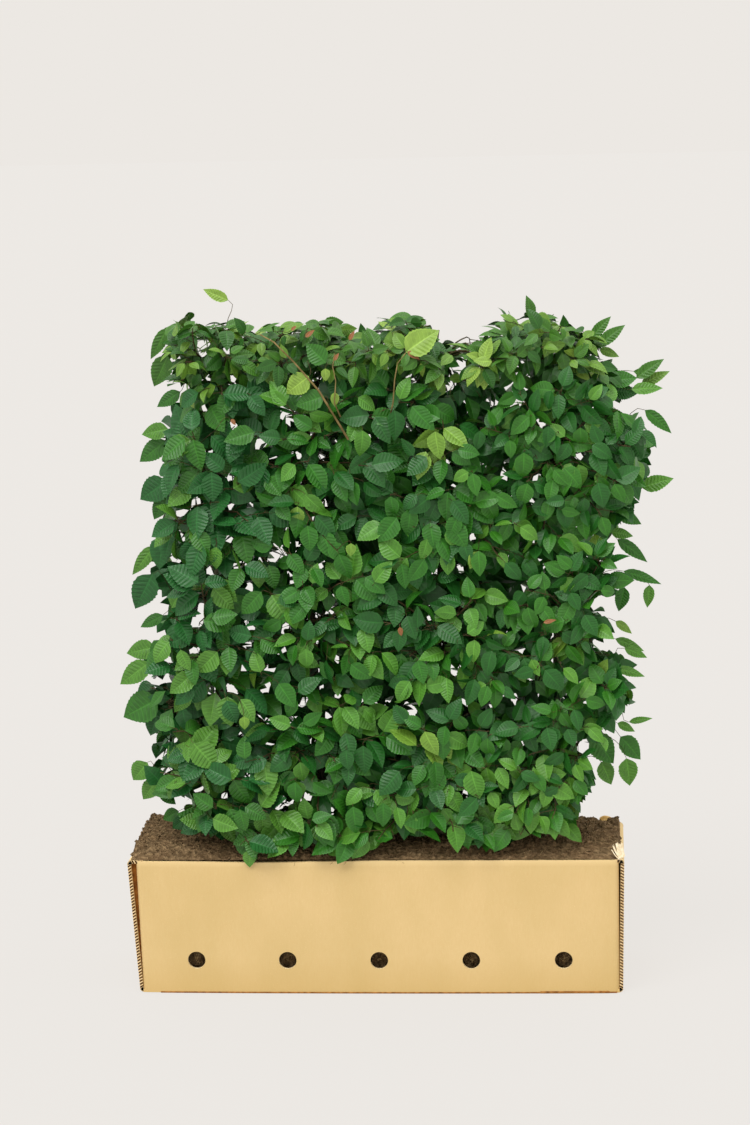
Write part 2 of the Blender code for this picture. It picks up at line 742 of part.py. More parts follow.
class Mass:
    """The growing pieces of one mass, with what a new blade has to miss."""

    def __init__(self, space, limbs, rng):
        self.space = space
        self.limbs = limbs
        self.rng = rng
        self.core = core_piece(space, rng)
        core_points = [vertex.co.copy() for vertex in self.core.data.vertices]
        core_faces = [tuple(face.vertices) for face in self.core.data.polygons]
        self.core_tree = BVHTree.FromPolygons(core_points, core_faces)
        self.pieces = []
        self.trees = []
        self.leaf_count = 0

    def keep(self, name, points, faces):
        self.pieces.append(add_object(name, points, faces))
        self.trees.append(BVHTree.FromPolygons(points, faces))

    def blade_is_free(self, points, own_twig):
        """The blade beyond its stalk meets neither the core nor any other leaf or twig."""
        blade = [points[k].lerp(points[k + 3], BLADE_START) for k in range(3)] + points[3:]
        blade_tree = BVHTree.FromPolygons(blade, LEAF_FACES)
        if blade_tree.overlap(self.core_tree):
            return False
        for point in (points[6], points[3], points[4]):
            offset = point - self.space.middle
            if offset.length < self.space.core_reach(offset.normalized()):
                return False
        leaf_tree = BVHTree.FromPolygons(points, LEAF_FACES)
        for index, tree in enumerate(self.trees):
            if leaf_tree.overlap(tree) and (index != own_twig or blade_tree.overlap(tree)):
                return False
        return True

    def grow_leaf(self, root, normal, hand, sunk, lifts, own_twig=None):
        """Tries seeded headings and keeps the leaf whose tip comes nearest the crown's outline.

        The blade lies along the mass's surface, whose normal is given, and hangs to one hand.
        """
        rng = self.rng
        middle = self.space.middle
        hanging = Vector((0, 0, -1)) - normal * -normal.z
        if hanging.length < LEAST_HANG:
            hanging = normal.orthogonal()
            hand = rng.uniform(-LEAF_ANY_HAND, LEAF_ANY_HAND)
        hanging.normalize()
        best, best_share = None, 0.0
        for attempt in range(LEAF_TRIES):
            loose = attempt / LEAF_TRIES
            turn = hand * LEAF_SWING
            turn += rng.uniform(-1, 1) * (LEAF_FIRST_SWING + LEAF_LOOSE * loose)
            along = Quaternion(normal, turn) @ hanging
            lift = rng.uniform(*lifts)
            heading = along * math.cos(lift) + normal * math.sin(lift)
            roll = rng.uniform(-1, 1) * LEAF_ROLL
            facing = Quaternion(heading, roll) @ normal
            shrink = (LEAF_LENGTHS[1] - LEAF_LENGTHS[0]) * loose * rng.random()
            length = LEAF_LENGTHS[1] - shrink
            points = leaf_points(root, heading, facing, length, sunk)
            offset = points[6] - middle
            share = offset.length / self.space.reach(offset.normalized())
            if share <= best_share or not leaf_fits(points, self.space, self.limbs):
                continue
            if self.blade_is_free(points, own_twig):
                best, best_share = points, share
        if best:
            self.keep("leaf", best, LEAF_FACES)
            self.leaf_count += 1

    def grow_twig(self, direction, number):
        """One three-sided twig out of the core, with a leaf at its tip and others beside it."""
        space = self.space
        _, normal, _, _ = self.core_tree.ray_cast(space.middle + direction, -direction)
        root = space.middle + direction * (space.core_reach(direction) - TWIG_SUNK)
        tip = space.middle + direction * (space.reach(direction) - TWIG_END)
        if any(limb.nearest(tip) < TWIG_LIMB_MARGIN for limb in self.limbs):
            return
        points, faces = tube([root, tip], [TWIG_ROOT_RADIUS, TWIG_TIP_RADIUS], 3, twist=number)
        if any(BVHTree.FromPolygons(points, faces).overlap(tree) for tree in self.trees):
            return
        own_twig = len(self.trees)
        self.keep("twig", points, faces)
        hand = number % 2 * 2 - 1
        self.grow_leaf(tip, normal, hand, LEAF_ROOT, TWIG_LEAF_LIFTS, own_twig)
        for share in SIDE_LEAF_SHARES:
            hand = -hand
            self.grow_leaf(
                tip.lerp(root, share), normal, hand, LEAF_ROOT, TWIG_LEAF_LIFTS, own_twig
            )

    def grow_on_core(self, direction, number):
        """One leaf rooted straight in the core."""
        hit, normal, _, _ = self.core_tree.ray_cast(self.space.middle + direction, -direction)
        if hit:
            hand = number % 2 * 2 - 1
            self.grow_leaf(hit, normal, hand, LEAF_CORE_ROOT, CORE_LEAF_LIFTS)


def build_mass(space, start, heading, start_radius, limbs, material, rng):
    """Stalk, core, twigs and leaves of one mass, joined into one solid."""
    mass = Mass(space, limbs, rng)
    knee = start + heading * (space.middle - start).length * STALK_KNEE
    path = [start, knee, space.middle.lerp(knee, STALK_END)]
    radii = [start_radius, (start_radius + TWIG_TIP_RADIUS) / 2, TWIG_TIP_RADIUS]
    points, faces = tube(path, radii, BOUGH_SIDES)
    stalk = add_object("stalk", points, faces)
    if space.side and space.drop is None:
        combine(stalk, [space.stem.add_cutter()], "DIFFERENCE")
    mass.trees.append(BVHTree.FromPolygons(points, faces))
    turn = rng.uniform(0, 2 * math.pi)
    for number, direction in enumerate(spread_directions(TWIGS_PER_MASS, space.outward, turn)):
        mass.grow_twig(direction, number)
    places = spread_directions(CORE_LEAF_PLACES, space.outward, turn)
    rng.shuffle(places)
    for number, direction in enumerate(places):
        if mass.leaf_count < LEAVES_PER_MASS:
            mass.grow_on_core(direction, number)
    core = mass.core
    core.name = space.name
    combine(core, [stalk] + mass.pieces, "UNION")
    merge_flat_faces(core)
    core.data.name = space.name
    core.data.materials.clear()
    core.data.materials.append(material)


def bough_tip(space):
    """Where a mass's bough ends: just inside the mass's space, on the side of its stem."""
    if space.side == 0:
        edge = END_LIMIT[1 if space.outward.x > 0 else -1]
        return Vector((edge, 0.0, space.middle.z - BOUGH_TIP_DROP))
    inward = Vector((space.middle.x, 0.0, space.middle.z))
    tip = inward.lerp(space.middle, BOUGH_TIP_SHARE)
    tip.x += (space.stem.at(tip.z).x - tip.x) * BOUGH_TIP_BEND
    tip.z -= BOUGH_TIP_DROP
    return tip


def grow(space, bark, green, rng):
    """Adds a mass, and the bough that carries it where it has one."""
    stem = space.stem
    if space.drop is not None:
        name = space.name.replace("foliage", "bough")
        bough = make_bough(name, stem, space.middle.z - space.drop, bough_tip(space))
        limb = bough.add(bark)
        combine(limb, [stem.add_cutter()], "DIFFERENCE")
        limb.data.materials.clear()
        limb.data.materials.append(bark)
        carrier, radius, limbs = bough, BOUGH_TIP_RADIUS, [stem, bough]
    elif space.side:
        start = stem.at(space.middle.z - STALK_DROP)
        heading = (space.middle - start).normalized()
        build_mass(space, start, heading, BOUGH_ROOT_RADIUS, [stem], green, rng)
        return
    else:
        carrier, radius, limbs = stem, STEM_TIP_RADIUS, [stem]
    heading = (carrier.path[-1] - carrier.path[-2]).normalized()
    start = carrier.path[-1] + heading * CLEAR
    build_mass(space, start, heading, radius, limbs, green, rng)


def main():
    for obj in list(bpy.data.objects):
        bpy.data.objects.remove(obj, do_unlink=True)
    board = make_material("kraft_board", (231, 198, 136), 0.85)
    earth = make_material("moist_soil", (89, 74, 49), 0.95)
    bark = make_material("hornbeam_bark", (96, 82, 62), 0.80)
    greens = {
        "left": make_material("leaf_left", (58, 96, 47), 0.55),
        "middle": make_material("leaf_middle", (52, 92, 41), 0.55),
        "right": make_material("leaf_right", (56, 96, 42), 0.50),
        "top": make_material("leaf_top", (79, 110, 54), 0.55),
    }
    build_trough(board)
    build_soil(earth)
    stems = [make_stem(index) for index in range(STEM_COUNT)]
    for stem in stems:
        stem.add(bark)
    rng = random.Random(SEED)
    for space in make_spaces(stems, rng):
        place = "left" if space.middle.x < -GREEN_BAND else "middle"
        if space.middle.x > GREEN_BAND:
            place = "right"
        if space.middle.z > STEM_TOP:
            place = "top"
        grow(space, bark, greens[place], rng)


main()
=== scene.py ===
"""Looks of the boxed hornbeam hedge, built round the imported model.

Metres, +Z up. The origin is the centre of the trough's underside, and -Y is the front.
"""

import json
import math
import random
from itertools import product

import bpy
import numpy as np
from mathutils import Matrix, Vector, noise

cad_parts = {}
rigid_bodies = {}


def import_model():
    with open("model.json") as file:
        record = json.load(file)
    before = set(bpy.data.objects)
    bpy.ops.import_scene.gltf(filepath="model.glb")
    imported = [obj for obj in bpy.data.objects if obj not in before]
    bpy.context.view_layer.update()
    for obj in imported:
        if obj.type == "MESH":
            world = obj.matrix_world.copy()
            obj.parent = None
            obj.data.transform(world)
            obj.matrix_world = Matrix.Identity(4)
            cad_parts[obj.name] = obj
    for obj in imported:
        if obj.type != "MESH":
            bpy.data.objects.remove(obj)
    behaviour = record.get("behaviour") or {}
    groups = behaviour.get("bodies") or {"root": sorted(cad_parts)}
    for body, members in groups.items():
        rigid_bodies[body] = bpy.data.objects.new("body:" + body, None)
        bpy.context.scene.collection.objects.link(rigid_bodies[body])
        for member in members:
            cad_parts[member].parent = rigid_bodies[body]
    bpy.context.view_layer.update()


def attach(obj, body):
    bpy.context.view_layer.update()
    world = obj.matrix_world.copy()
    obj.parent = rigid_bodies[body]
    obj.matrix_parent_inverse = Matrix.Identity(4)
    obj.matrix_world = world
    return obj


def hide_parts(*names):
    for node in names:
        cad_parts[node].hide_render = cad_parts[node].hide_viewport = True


SEED = 41
LOOKS_SEED = 7

# Camera, fitted to the trough's corners
CAMERA_PLACE = (0.4789, -6.1567, 1.9893)
CAMERA_YAW = 0.07788
CAMERA_PITCH = 0.176646
CAMERA_ROLL = -0.023418
FOCAL_PIXELS = 3003.3
PHOTO_HEIGHT = 1125
SENSOR = 36.0
CAMERA_REACH = 100

# Trough, as in the source
TROUGH_LENGTH = 1.0
TROUGH_DEPTH = 0.30
TROUGH_HEIGHT = 0.285
BOARD = 0.007
CORNER_RADIUS = 0.010
FLAP_LENGTH = 0.11
END_BOARD_DEPTH = 0.294
HOLE_COUNT = 5
HOLE_SPACING = 0.192
HOLE_DIAMETER = 0.037
HOLE_HEIGHT = 0.0713
ROLL_RADIUS = 0.005
LAP = 0.0005
BASE_TONGUE = 0.03

# The board's paper layers and flutes, and the dark plate between them that paints the shade in the
# flutes' hollows
LINER = 0.0006
LINER_PLACES = (-0.0032, 0.0, 0.0032)
SHADE_PLATE_THICKNESS = 0.0064
SHADE_PLATE_PROUD = 0.0003
FLUTE_PITCH = 0.0064
FLUTE_PAPER = 0.0023
FLUTE_REACH = 0.0034
FLUTE_SLANT = 0.0018
FLUTE_PROUD = 0.0008
FLUTE_SHOWN = 0.004

# Walls and ends as they look: lean at the rim, bulge, sagging and ragged rim, and fine steps
END_LEAN = {-1: 0.0175, 1: 0.0045}
WALL_LEAN = 0.006
WALL_BULGE = 0.006
BULGE_POWER = 0.6
RIM_SAG = 0.0035
SAG_PLACE = -0.24
SAG_LENGTH = 0.16
RIM_RAGGED = 0.0007
RIM_WAVES = 90
WALL_ROWS = 14
WALL_STEP = 0.025
CORNER_STEPS = 8
BASE_FOOT = 0.0003
HOLE_SIDES = 48
HOLE_EDGE = 0.0002

# Board tucked in between the folded corners and the ends, darkened as painted shade of the gap
TUCK_PLACE = {-1: 0.138, 1: 0.105}
TUCK_BOARD = 0.004
TUCK_FOOT = 0.010
TUCK_HEAD = 0.006
TUCK_INSET = 0.001
TUCK_THICKNESS = 0.002

# Soil, as in the source
SOIL_RISE = 0.013
SOIL_EDGE = 0.005
SOIL_OVERHANG = 0.497
SOIL_SHOULDER = 6

# The soil's top as it looks: its ends, heap, lumps, dip and falling edges, and what fills it
SOIL_LEFT = -0.5165
SOIL_RIGHT = 0.5035
SOIL_EDGE_HEAP = 0.009
SOIL_END_FALL = 0.0035
SOIL_COLUMNS = 330
SOIL_ROWS = 96
SOIL_LUMPS = ((34.0, 0.0034), (95.0, 0.0038), (190.0, 0.0022), (330.0, 0.0011))
SOIL_FALL = 0.006
SOIL_HALF_DEPTH = 0.1462
SOIL_HEAP = 0.013
SOIL_RAMP = 0.06
HOLE_SOIL_DEPTH = 0.018
SOIL_FOOT = 0.002
SOIL_RIM = 0.0016
SOIL_RAMP_POWER = 0.8
SOIL_LEFT_RUN = 0.07
SOIL_DIP = 0.010
SOIL_DIP_PLACE = (0.470, 0.125)
SOIL_DIP_SIZE = (0.018, 0.020)
SOIL_UNEVEN = 0.003
SOIL_UNEVEN_WAVES = 60
SOIL_SHAKEN = 0.0012
SOIL_SHAKEN_WAVES = 200
SOIL_FILL_END = 0.4855
SOIL_FILL_GAP = 0.001
SOIL_CLEARANCE = 0.0003
SOIL_LEFT_RISE = 1.5

# Crumbs, straw and fine roots on the soil
CRUMBS = 3400
CRUMB_OVER = 0.002
CRUMB_SMALLEST = 0.0008
CRUMB_RANGE = 0.0044
CRUMB_UNEVEN = (0.6, 1.3)
CRUMB_SUNK = 0.3
RIM_CRUMBS = 220
RIM_CRUMB_SIZES = (0.0004, 0.0012)
RIM_CRUMB_INSET = 0.0005
RIM_CRUMB_SUNK = 0.4
HOLE_CRUMBS = 60
HOLE_CRUMB_SIZES = (0.0015, 0.0040)
HOLE_CRUMB_SPREAD = 0.6
HOLE_CRUMB_INSET = 0.001
STRAWS = 420
STRAW_POINTS = 5
STRAW_SIDES = 3
STRAW_SPREAD = (0.49, 0.138)
STRAW_EDGE = 0.141
STRAW_SHORTEST = 0.007
STRAW_RANGE = 0.030
STRAW_BEND = 0.9
STRAW_ABOVE = 0.0008
STRAW_ABOVE_RANGE = 0.0012
STRAW_RADII = (0.0004, 0.0009)
STRAW_TIP_RADIUS = 0.0003
HOLE_ROOTS = 7
ROOT_REACH = 0.85
ROOT_START = (0.4, 1)
ROOT_DEPTH = 0.7
ROOT_BOW = 0.5
ROOT_TURN = (1.6, 3.6)
ROOT_SAG = 0.005
ROOT_RADII = (0.0004, 0.0002)

# Stems, as in the source
STEM_SPACING = 0.24
STEM_COUNT = 4
STEM_LEANS = (0.052, -0.022, 0.014, 0.020)
STEM_TOP = 1.205
STEM_TOP_STEP = 0.010
STEM_TOP_PHASE = 2.4
STEM_FOOT_RADIUS = 0.0125
STEM_TIP_RADIUS = 0.0040
FLARE_HEIGHT = 0.05
FLARE = 0.75
FLARE_FALL = 3
RING_CROWDING = 1.25
STEM_RINGS = 13
SWAY_X = 0.008
SWAY_Y = 0.003
SWAY_WAVES = (5.5, 7.0)
SWAY_PHASES = (0.4, 1.7)
SWAY_START = 3

# Crown outline, as in the source
LEFT_EDGE = (
    (0.34, -0.520), (0.45, -0.535), (0.66, -0.548), (0.93, -0.505), (1.17, -0.488),
    (1.42, -0.450),
)
RIGHT_EDGE = (
    (0.36, 0.490), (0.44, 0.550), (0.85, 0.585), (1.04, 0.590), (1.20, 0.622), (1.32, 0.605),
    (1.42, 0.520),
)
TOP_EDGE = (
    (-0.45, 1.400), (-0.25, 1.418), (0.08, 1.418), (0.18, 1.372), (0.32, 1.425), (0.50, 1.390),
    (0.61, 1.320),
)
FOOT_EDGE = (
    (-0.54, 0.370), (-0.40, 0.332), (-0.30, 0.316), (0.32, 0.316), (0.44, 0.345), (0.58, 0.430),
)
CROWN_HALF_DEPTH = 0.182
CROWN_TOP_HALF_DEPTH = 0.150
CROWN_TOP_STARTS = 1.05
CROWN_TOP_RUN = 0.37
CROWN_END_THINNING = 0.16
CROWN_HALF_LENGTH = 0.60
MIDDLE_GAP = 0.021

# Masses of foliage, as in the source
LEVELS = (("low", 0.460), ("middle", 0.760), ("high", 1.055))
LEVEL_STAGGER = 0.035
SIDE_MIDDLE = 0.095
TOP_MIDDLE = 1.322
SPREAD = 1.04
SIDE_TILT = 0.15
NEIGHBOUR_RANGE = 0.75
END_LEVELS = (("low", 0.600, 0.060), ("high", 1.010, 0.140))
END_MIDDLE = {-1: -0.475, 1: 0.515}
END_LIMIT = {-1: -0.395, 1: 0.420}
SHIFT_X = 0.022
SHIFT_Z = 0.025
BOUGH_DROP = 0.085
BOUGH_SAG = 0.10
BOUGH_TIP_DROP = 0.030
BOUGH_TIP_SHARE = 0.20
BOUGH_TIP_BEND = 0.35
STALK_DROP = 0.050
BOUGH_ROOT_RADIUS = 0.0060
BOUGH_TIP_RADIUS = 0.0036
OUTWARD_PULL = 0.8
FARTHEST = 0.6

# Outline that the leaf tips reach, as the camera sees it on the crown's middle plane:
# (height, x) up the ends and (x, height) along the top
LEAF_LEFT = (
    (0.35, -0.440), (0.40, -0.485), (0.43, -0.500), (0.48, -0.485), (0.52, -0.468), (0.58, -0.485),
    (0.62, -0.510), (0.66, -0.490), (0.72, -0.470), (0.76, -0.455), (0.81, -0.465), (0.86, -0.485),
    (0.93, -0.470), (0.98, -0.445), (1.09, -0.440), (1.15, -0.445), (1.23, -0.405), (1.31, -0.440),
    (1.40, -0.420),
)
LEAF_RIGHT = (
    (0.36, 0.412), (0.41, 0.450), (0.46, 0.435), (0.50, 0.500), (0.55, 0.485), (0.59, 0.530),
    (0.69, 0.525), (0.71, 0.465), (0.74, 0.492), (0.80, 0.455), (0.84, 0.532), (0.89, 0.528),
    (0.95, 0.485), (1.01, 0.548), (1.06, 0.565), (1.12, 0.585), (1.18, 0.570), (1.22, 0.505),
    (1.27, 0.530), (1.30, 0.480), (1.34, 0.485), (1.38, 0.460),
)
LEAF_TOP = (
    (-0.48, 1.352), (-0.46, 1.387), (-0.43, 1.407), (-0.37, 1.420), (-0.35, 1.396), (-0.24, 1.423),
    (-0.12, 1.417), (-0.06, 1.385), (0.03, 1.418), (0.11, 1.410), (0.13, 1.385), (0.17, 1.358),
    (0.20, 1.362), (0.26, 1.411), (0.33, 1.428), (0.39, 1.396), (0.45, 1.380), (0.515, 1.382),
    (0.53, 1.312), (0.60, 1.315),
)
LEAF_FOOT = (
    (-0.53, 0.345), (-0.46, 0.309), (-0.33, 0.312), (-0.31, 0.255), (-0.25, 0.245), (-0.13, 0.262),
    (-0.09, 0.243), (0.00, 0.266), (0.05, 0.300), (0.13, 0.306), (0.17, 0.262), (0.24, 0.252),
    (0.27, 0.285), (0.34, 0.305), (0.38, 0.283), (0.42, 0.286), (0.44, 0.360), (0.46, 0.410),
    (0.54, 0.413),
)

# Places where sky shows through the crown, on the same plane:
# x, height, half length, half width and the length's turn in degrees
SKY_GAPS = (
    (-0.423, 0.371, 0.025, 0.015, 15),
    (-0.458, 0.641, 0.024, 0.011, 0),
    (-0.348, 1.344, 0.022, 0.011, 90),
    (0.461, 0.796, 0.018, 0.012, 50),
    (0.464, 0.706, 0.017, 0.012, 0),
    (-0.451, 0.794, 0.015, 0.012, 20),
    (-0.400, 1.260, 0.015, 0.011, 0),
    (0.431, 0.491, 0.014, 0.011, 25),
    (-0.378, 0.780, 0.026, 0.009, 65),
    (-0.211, 0.365, 0.014, 0.010, 50),
    (0.180, 1.302, 0.019, 0.010, 45),
    (0.179, 0.876, 0.012, 0.010, 70),
    (0.067, 0.573, 0.015, 0.009, 140),
    (0.453, 0.463, 0.018, 0.008, 140),
    (0.516, 1.207, 0.022, 0.008, 155),
    (-0.179, 1.193, 0.019, 0.007, 120),
    (-0.210, 0.907, 0.014, 0.008, 65),
    (-0.389, 0.402, 0.012, 0.008, 25),
    (-0.298, 1.339, 0.010, 0.007, 140),
    (-0.313, 0.620, 0.010, 0.007, 155),
    (0.304, 1.404, 0.010, 0.007, 125),
    (-0.123, 0.431, 0.011, 0.006, 75),
)

# Small openings scattered between the leaves: count, and the smallest and largest radius
PINHOLES = {-1: (85, 0.0045, 0.0085), 1: (34, 0.0035, 0.0065)}
PINHOLES_FROM = 0.08
PINHOLE_TRIALS = 4000
PINHOLE_APART = 0.038

# Leaves and twigs: how finely they are made, how closely they stand and how often they try
HALVINGS = 14
VEIN_PAIRS = 9
LEAF_COLUMNS = 2
PLAIN_LEAF_ROWS = 5
TIP_TRIALS = 150
TIP_SPACING = {-1: 0.068, 1: 0.062}
TIP_DEPTH = 0.018
INNER_SPACING = 0.078
END_THINNER = 1.25
END_THINNER_FROM = 0.38
BRANCHLET_POINTS = 8
BRANCHLET_SIDES = 5
BRANCHLET_TRIES = 8
BRANCHLET_BOW = 0.035
START_TRIES = 4
TWIG_POINTS = 5
TWIG_SIDES = 3
PETIOLE_POINTS = 3
PETIOLE_SIDES = 3
LEAF_TRIES = 6
TWIG_CLEAR = 0.008
TWIG_WITHIN = 0.016
INNER_TRIALS = 260
INNER_DEPTH = 0.045
INNER_BOX = 0.24


def linear(red, green, blue):
    """Base colour from the 0 to 255 values that a picture shows."""
    values = []
    for value in (red, green, blue):
        share = value / 255
        values.append(share / 12.92 if share <= 0.04045 else ((share + 0.055) / 1.055) ** 2.4)
    return (*values, 1.0)


def clamp(value, low=0, high=1):
    return min(max(value, low), high)


def profile_value(pairs, key):
    """Reads a piecewise straight profile, held level past both ends."""
    if key <= pairs[0][0]:
        return pairs[0][1]
    for (k0, v0), (k1, v1) in zip(pairs, pairs[1:]):
        if key <= k1:
            return v0 + (v1 - v0) * (key - k0) / (k1 - k0)
    return pairs[-1][1]


# Meshes from arrays

class Parts:
    """Gathers vertices, faces and map places, and makes one mesh of them."""

    def __init__(self):
        self.points = []
        self.faces = []
        self.maps = []
        self.count = 0

    def add(self, points, faces, places=None):
        """Adds points (n, 3) and faces (m, 3 or 4); places has a map place for each point."""
        self.points.append(points.reshape(-1, 3))
        self.faces.append(faces + self.count)
        if places is not None:
            self.maps.append(places.reshape(-1, 2))
        self.count += len(self.points[-1])

    def build(self, name, material, smooth):
        points = np.concatenate(self.points).astype(np.float32)
        mesh = bpy.data.meshes.new(name)
        mesh.vertices.add(len(points))
        mesh.vertices.foreach_set("co", points.ravel())
        corners = np.concatenate([faces.ravel() for faces in self.faces]).astype(np.int32)
        sizes = np.concatenate([np.full(len(f), f.shape[1]) for f in self.faces])
        starts = np.concatenate([[0], np.cumsum(sizes)[:-1]]).astype(np.int32)
        mesh.loops.add(len(corners))
        mesh.loops.foreach_set("vertex_index", corners)
        mesh.polygons.add(len(sizes))
        mesh.polygons.foreach_set("loop_start", starts)
        if self.maps:
            places = np.concatenate(self.maps).astype(np.float32)
            layer = mesh.uv_layers.new(name="OFBake")
            layer.data.foreach_set("uv", places[corners].ravel())
        mesh.polygons.foreach_set("use_smooth", np.full(len(sizes), smooth))
        mesh.update(calc_edges=True)
        mesh.materials.append(material)
        piece = bpy.data.objects.new(name, mesh)
        bpy.context.scene.collection.objects.link(piece)
        return piece


def unit(vectors):
    return vectors / np.maximum(np.linalg.norm(vectors, axis=-1, keepdims=True), 1e-9)


def tubes(paths, radii, sides):
    """Points and faces of closed tapering tubes round paths (n, rings, 3), radii (n, rings)."""
    count, rings = radii.shape
    along = unit(np.gradient(paths, axis=1))
    helper = np.where(np.abs(along[:, :1, 2:3]) > 0.8, (1.0, 0, 0), (0, 0, 1.0))[:, 0]
    across = unit(np.cross(along[:, 0], helper))
    angles = 2 * math.pi * np.arange(sides) / sides
    points = np.empty((count, rings, sides, 3))
    for ring in range(rings):
        across = unit(across - along[:, ring] * (across * along[:, ring]).sum(-1, keepdims=True))
        other = np.cross(along[:, ring], across)
        circle = across[:, None] * np.cos(angles)[:, None] + other[:, None] * np.sin(angles)[:, None]
        points[:, ring] = paths[:, ring, None] + circle * radii[:, ring, None, None]
    ring_ids = (np.arange(rings - 1) * sides)[:, None]
    step = np.arange(sides)
    after = (step + 1) % sides
    quads = np.stack(
        [ring_ids + step, ring_ids + after, ring_ids + sides + after, ring_ids + sides + step], -1
    ).reshape(-1, 4)
    fan = np.array([(0, i + 1, i) for i in range(1, sides - 1)])
    last = (rings - 1) * sides + np.array([(0, i, i + 1) for i in range(1, sides - 1)])
    base = (np.arange(count) * rings * sides)[:, None, None]
    return points, (quads + base).reshape(-1, 4), (np.concatenate([fan, last]) + base).reshape(-1, 3)


class Limbs:
    """Gathers twigs that have the same count of rings and sides."""

    def __init__(self, rings, sides):
        self.rings, self.sides = rings, sides
        self.paths, self.radii = [], []

    def add(self, path, foot_radius, tip_radius):
        share = np.linspace(0, 1, self.rings)
        self.paths.append(np.array(path, float))
        self.radii.append(foot_radius + (tip_radius - foot_radius) * share)

    def into(self, parts):
        if not self.paths:
            return
        points, quads, ends = tubes(np.array(self.paths), np.array(self.radii), self.sides)
        start = parts.count
        parts.add(points, quads)
        parts.faces.append(ends + start)


def limb_piece(name, material, smooth, *gathered):
    """One piece of all the limbs that were gathered."""
    parts = Parts()
    for limbs in gathered:
        limbs.into(parts)
    return parts.build(name, material, smooth)


# Materials

class Surface:
    """A material and its shader, with ways to feed the shader from nodes."""

    def __init__(self, name, colour, roughness, specular=None):
        self.material = bpy.data.materials.new(name)
        self.material.use_nodes = True
        self.nodes = self.material.node_tree.nodes
        self.links = self.material.node_tree.links
        self.shader = self.nodes["Principled BSDF"]
        self.shader.inputs["Base Color"].default_value = linear(*colour)
        self.shader.inputs["Roughness"].default_value = roughness
        if specular is not None:
            self.shader.inputs["Specular IOR Level"].default_value = specular

    def feed(self, socket, value):
        """Sets a socket to a colour or a number, or links it to another node's value."""
        if isinstance(value, tuple):
            socket.default_value = linear(*value)
        elif isinstance(value, (int, float)):
            socket.default_value = value
        else:
            self.links.new(value, socket)

    def math(self, operation, first, second=None):
        node = self.nodes.new("ShaderNodeMath")
        node.operation = operation
        self.feed(node.inputs[0], first)
        if second is not None:
            self.feed(node.inputs[1], second)
        return node.outputs[0]

    def mix(self, share, first, second):
        """Blends two colours by a share."""
        node = self.nodes.new("ShaderNodeMix")
        node.data_type = "RGBA"
        self.feed(node.inputs[0], share)
        self.feed(node.inputs[6], first)
        self.feed(node.inputs[7], second)
        return node.outputs[2]

    def spread(self, value, low, high):
        """0 where the value is low and 1 where it is high."""
        node = self.nodes.new("ShaderNodeMapRange")
        node.inputs["From Min"].default_value = low
        node.inputs["From Max"].default_value = high
        self.links.new(value, node.inputs["Value"])
        return node.outputs["Result"]

    def place(self):
        return self.nodes.new("ShaderNodeTexCoord").outputs["Object"]

    def noise(self, scale, detail=3.0, stretch=(1, 1, 1), low=0.35, high=0.65, place=None):
        mapping = self.nodes.new("ShaderNodeMapping")
        mapping.inputs["Scale"].default_value = stretch
        self.links.new(place or self.place(), mapping.inputs["Vector"])
        texture = self.nodes.new("ShaderNodeTexNoise")
        texture.inputs["Scale"].default_value = scale
        texture.inputs["Detail"].default_value = detail
        self.links.new(mapping.outputs["Vector"], texture.inputs["Vector"])
        return self.spread(texture.outputs["Fac"], low, high)

    def height_share(self, start, end):
        """0 at the start height and 1 at the end height."""
        place = self.place()
        split = self.nodes.new("ShaderNodeSeparateXYZ")
        self.links.new(place, split.inputs["Vector"])
        return self.spread(split.outputs["Z"], start, end)

    def bump(self, height, strength, distance):
        bump = self.nodes.new("ShaderNodeBump")
        bump.inputs["Strength"].default_value = strength
        bump.inputs["Distance"].default_value = distance
        self.links.new(height, bump.inputs["Height"])
        self.links.new(bump.outputs["Normal"], self.shader.inputs["Normal"])

    def finish(self, colour):
        """Takes the colour for the surface and gives the finished material."""
        self.links.new(colour, self.shader.inputs["Base Color"])
        return self.material


def leaf_material(name, colour, pleated):
    """A blade with paler veins and a rim paled as a painted highlight: the map's v runs along the blade
    and u across it.
    """
    leaf = Surface(name, colour, roughness=0.40, specular=0.38)
    place = leaf.nodes.new("ShaderNodeUVMap")
    place.uv_map = "OFBake"
    split = leaf.nodes.new("ShaderNodeSeparateXYZ")
    leaf.links.new(place.outputs["UV"], split.inputs["Vector"])
    beat = leaf.math("MULTIPLY", split.outputs["Y"], float(VEIN_PAIRS))
    beat = leaf.math("PINGPONG", beat, 0.5)
    vein = leaf.math("LESS_THAN", beat, VEIN_WIDTH)
    from_middle = leaf.math("SUBTRACT", split.outputs["X"], 0.5)
    from_middle = leaf.math("ABSOLUTE", from_middle)
    rib = leaf.math("LESS_THAN", from_middle, RIB_WIDTH)
    vein = leaf.math("MULTIPLY", vein, VEIN_SHARES[pleated])
    rib = leaf.math("MULTIPLY", rib, RIB_SHARE)
    # The paler rim is a painted highlight.
    rim = leaf.math("GREATER_THAN", from_middle, PAINTED_RIM_HIGHLIGHT_FROM)
    rim = leaf.math("MULTIPLY", rim, PAINTED_RIM_HIGHLIGHT_SHARES[pleated])
    lines = leaf.math("MAXIMUM", leaf.math("MAXIMUM", vein, rib), rim)
    pale = tuple(min(255, value * VEIN_LIGHTER + VEIN_LIFT) for value in colour)
    shade = tuple(value * BLADE_DARKER for value in colour)
    patch = leaf.noise(3.2, detail=2.0, low=0.40, high=0.60, place=place.outputs["UV"])
    patch = leaf.math("MULTIPLY", patch, BLADE_DARKER_SHARE)
    blade = leaf.mix(patch, colour, shade)
    return leaf.finish(leaf.mix(lines, blade, pale))


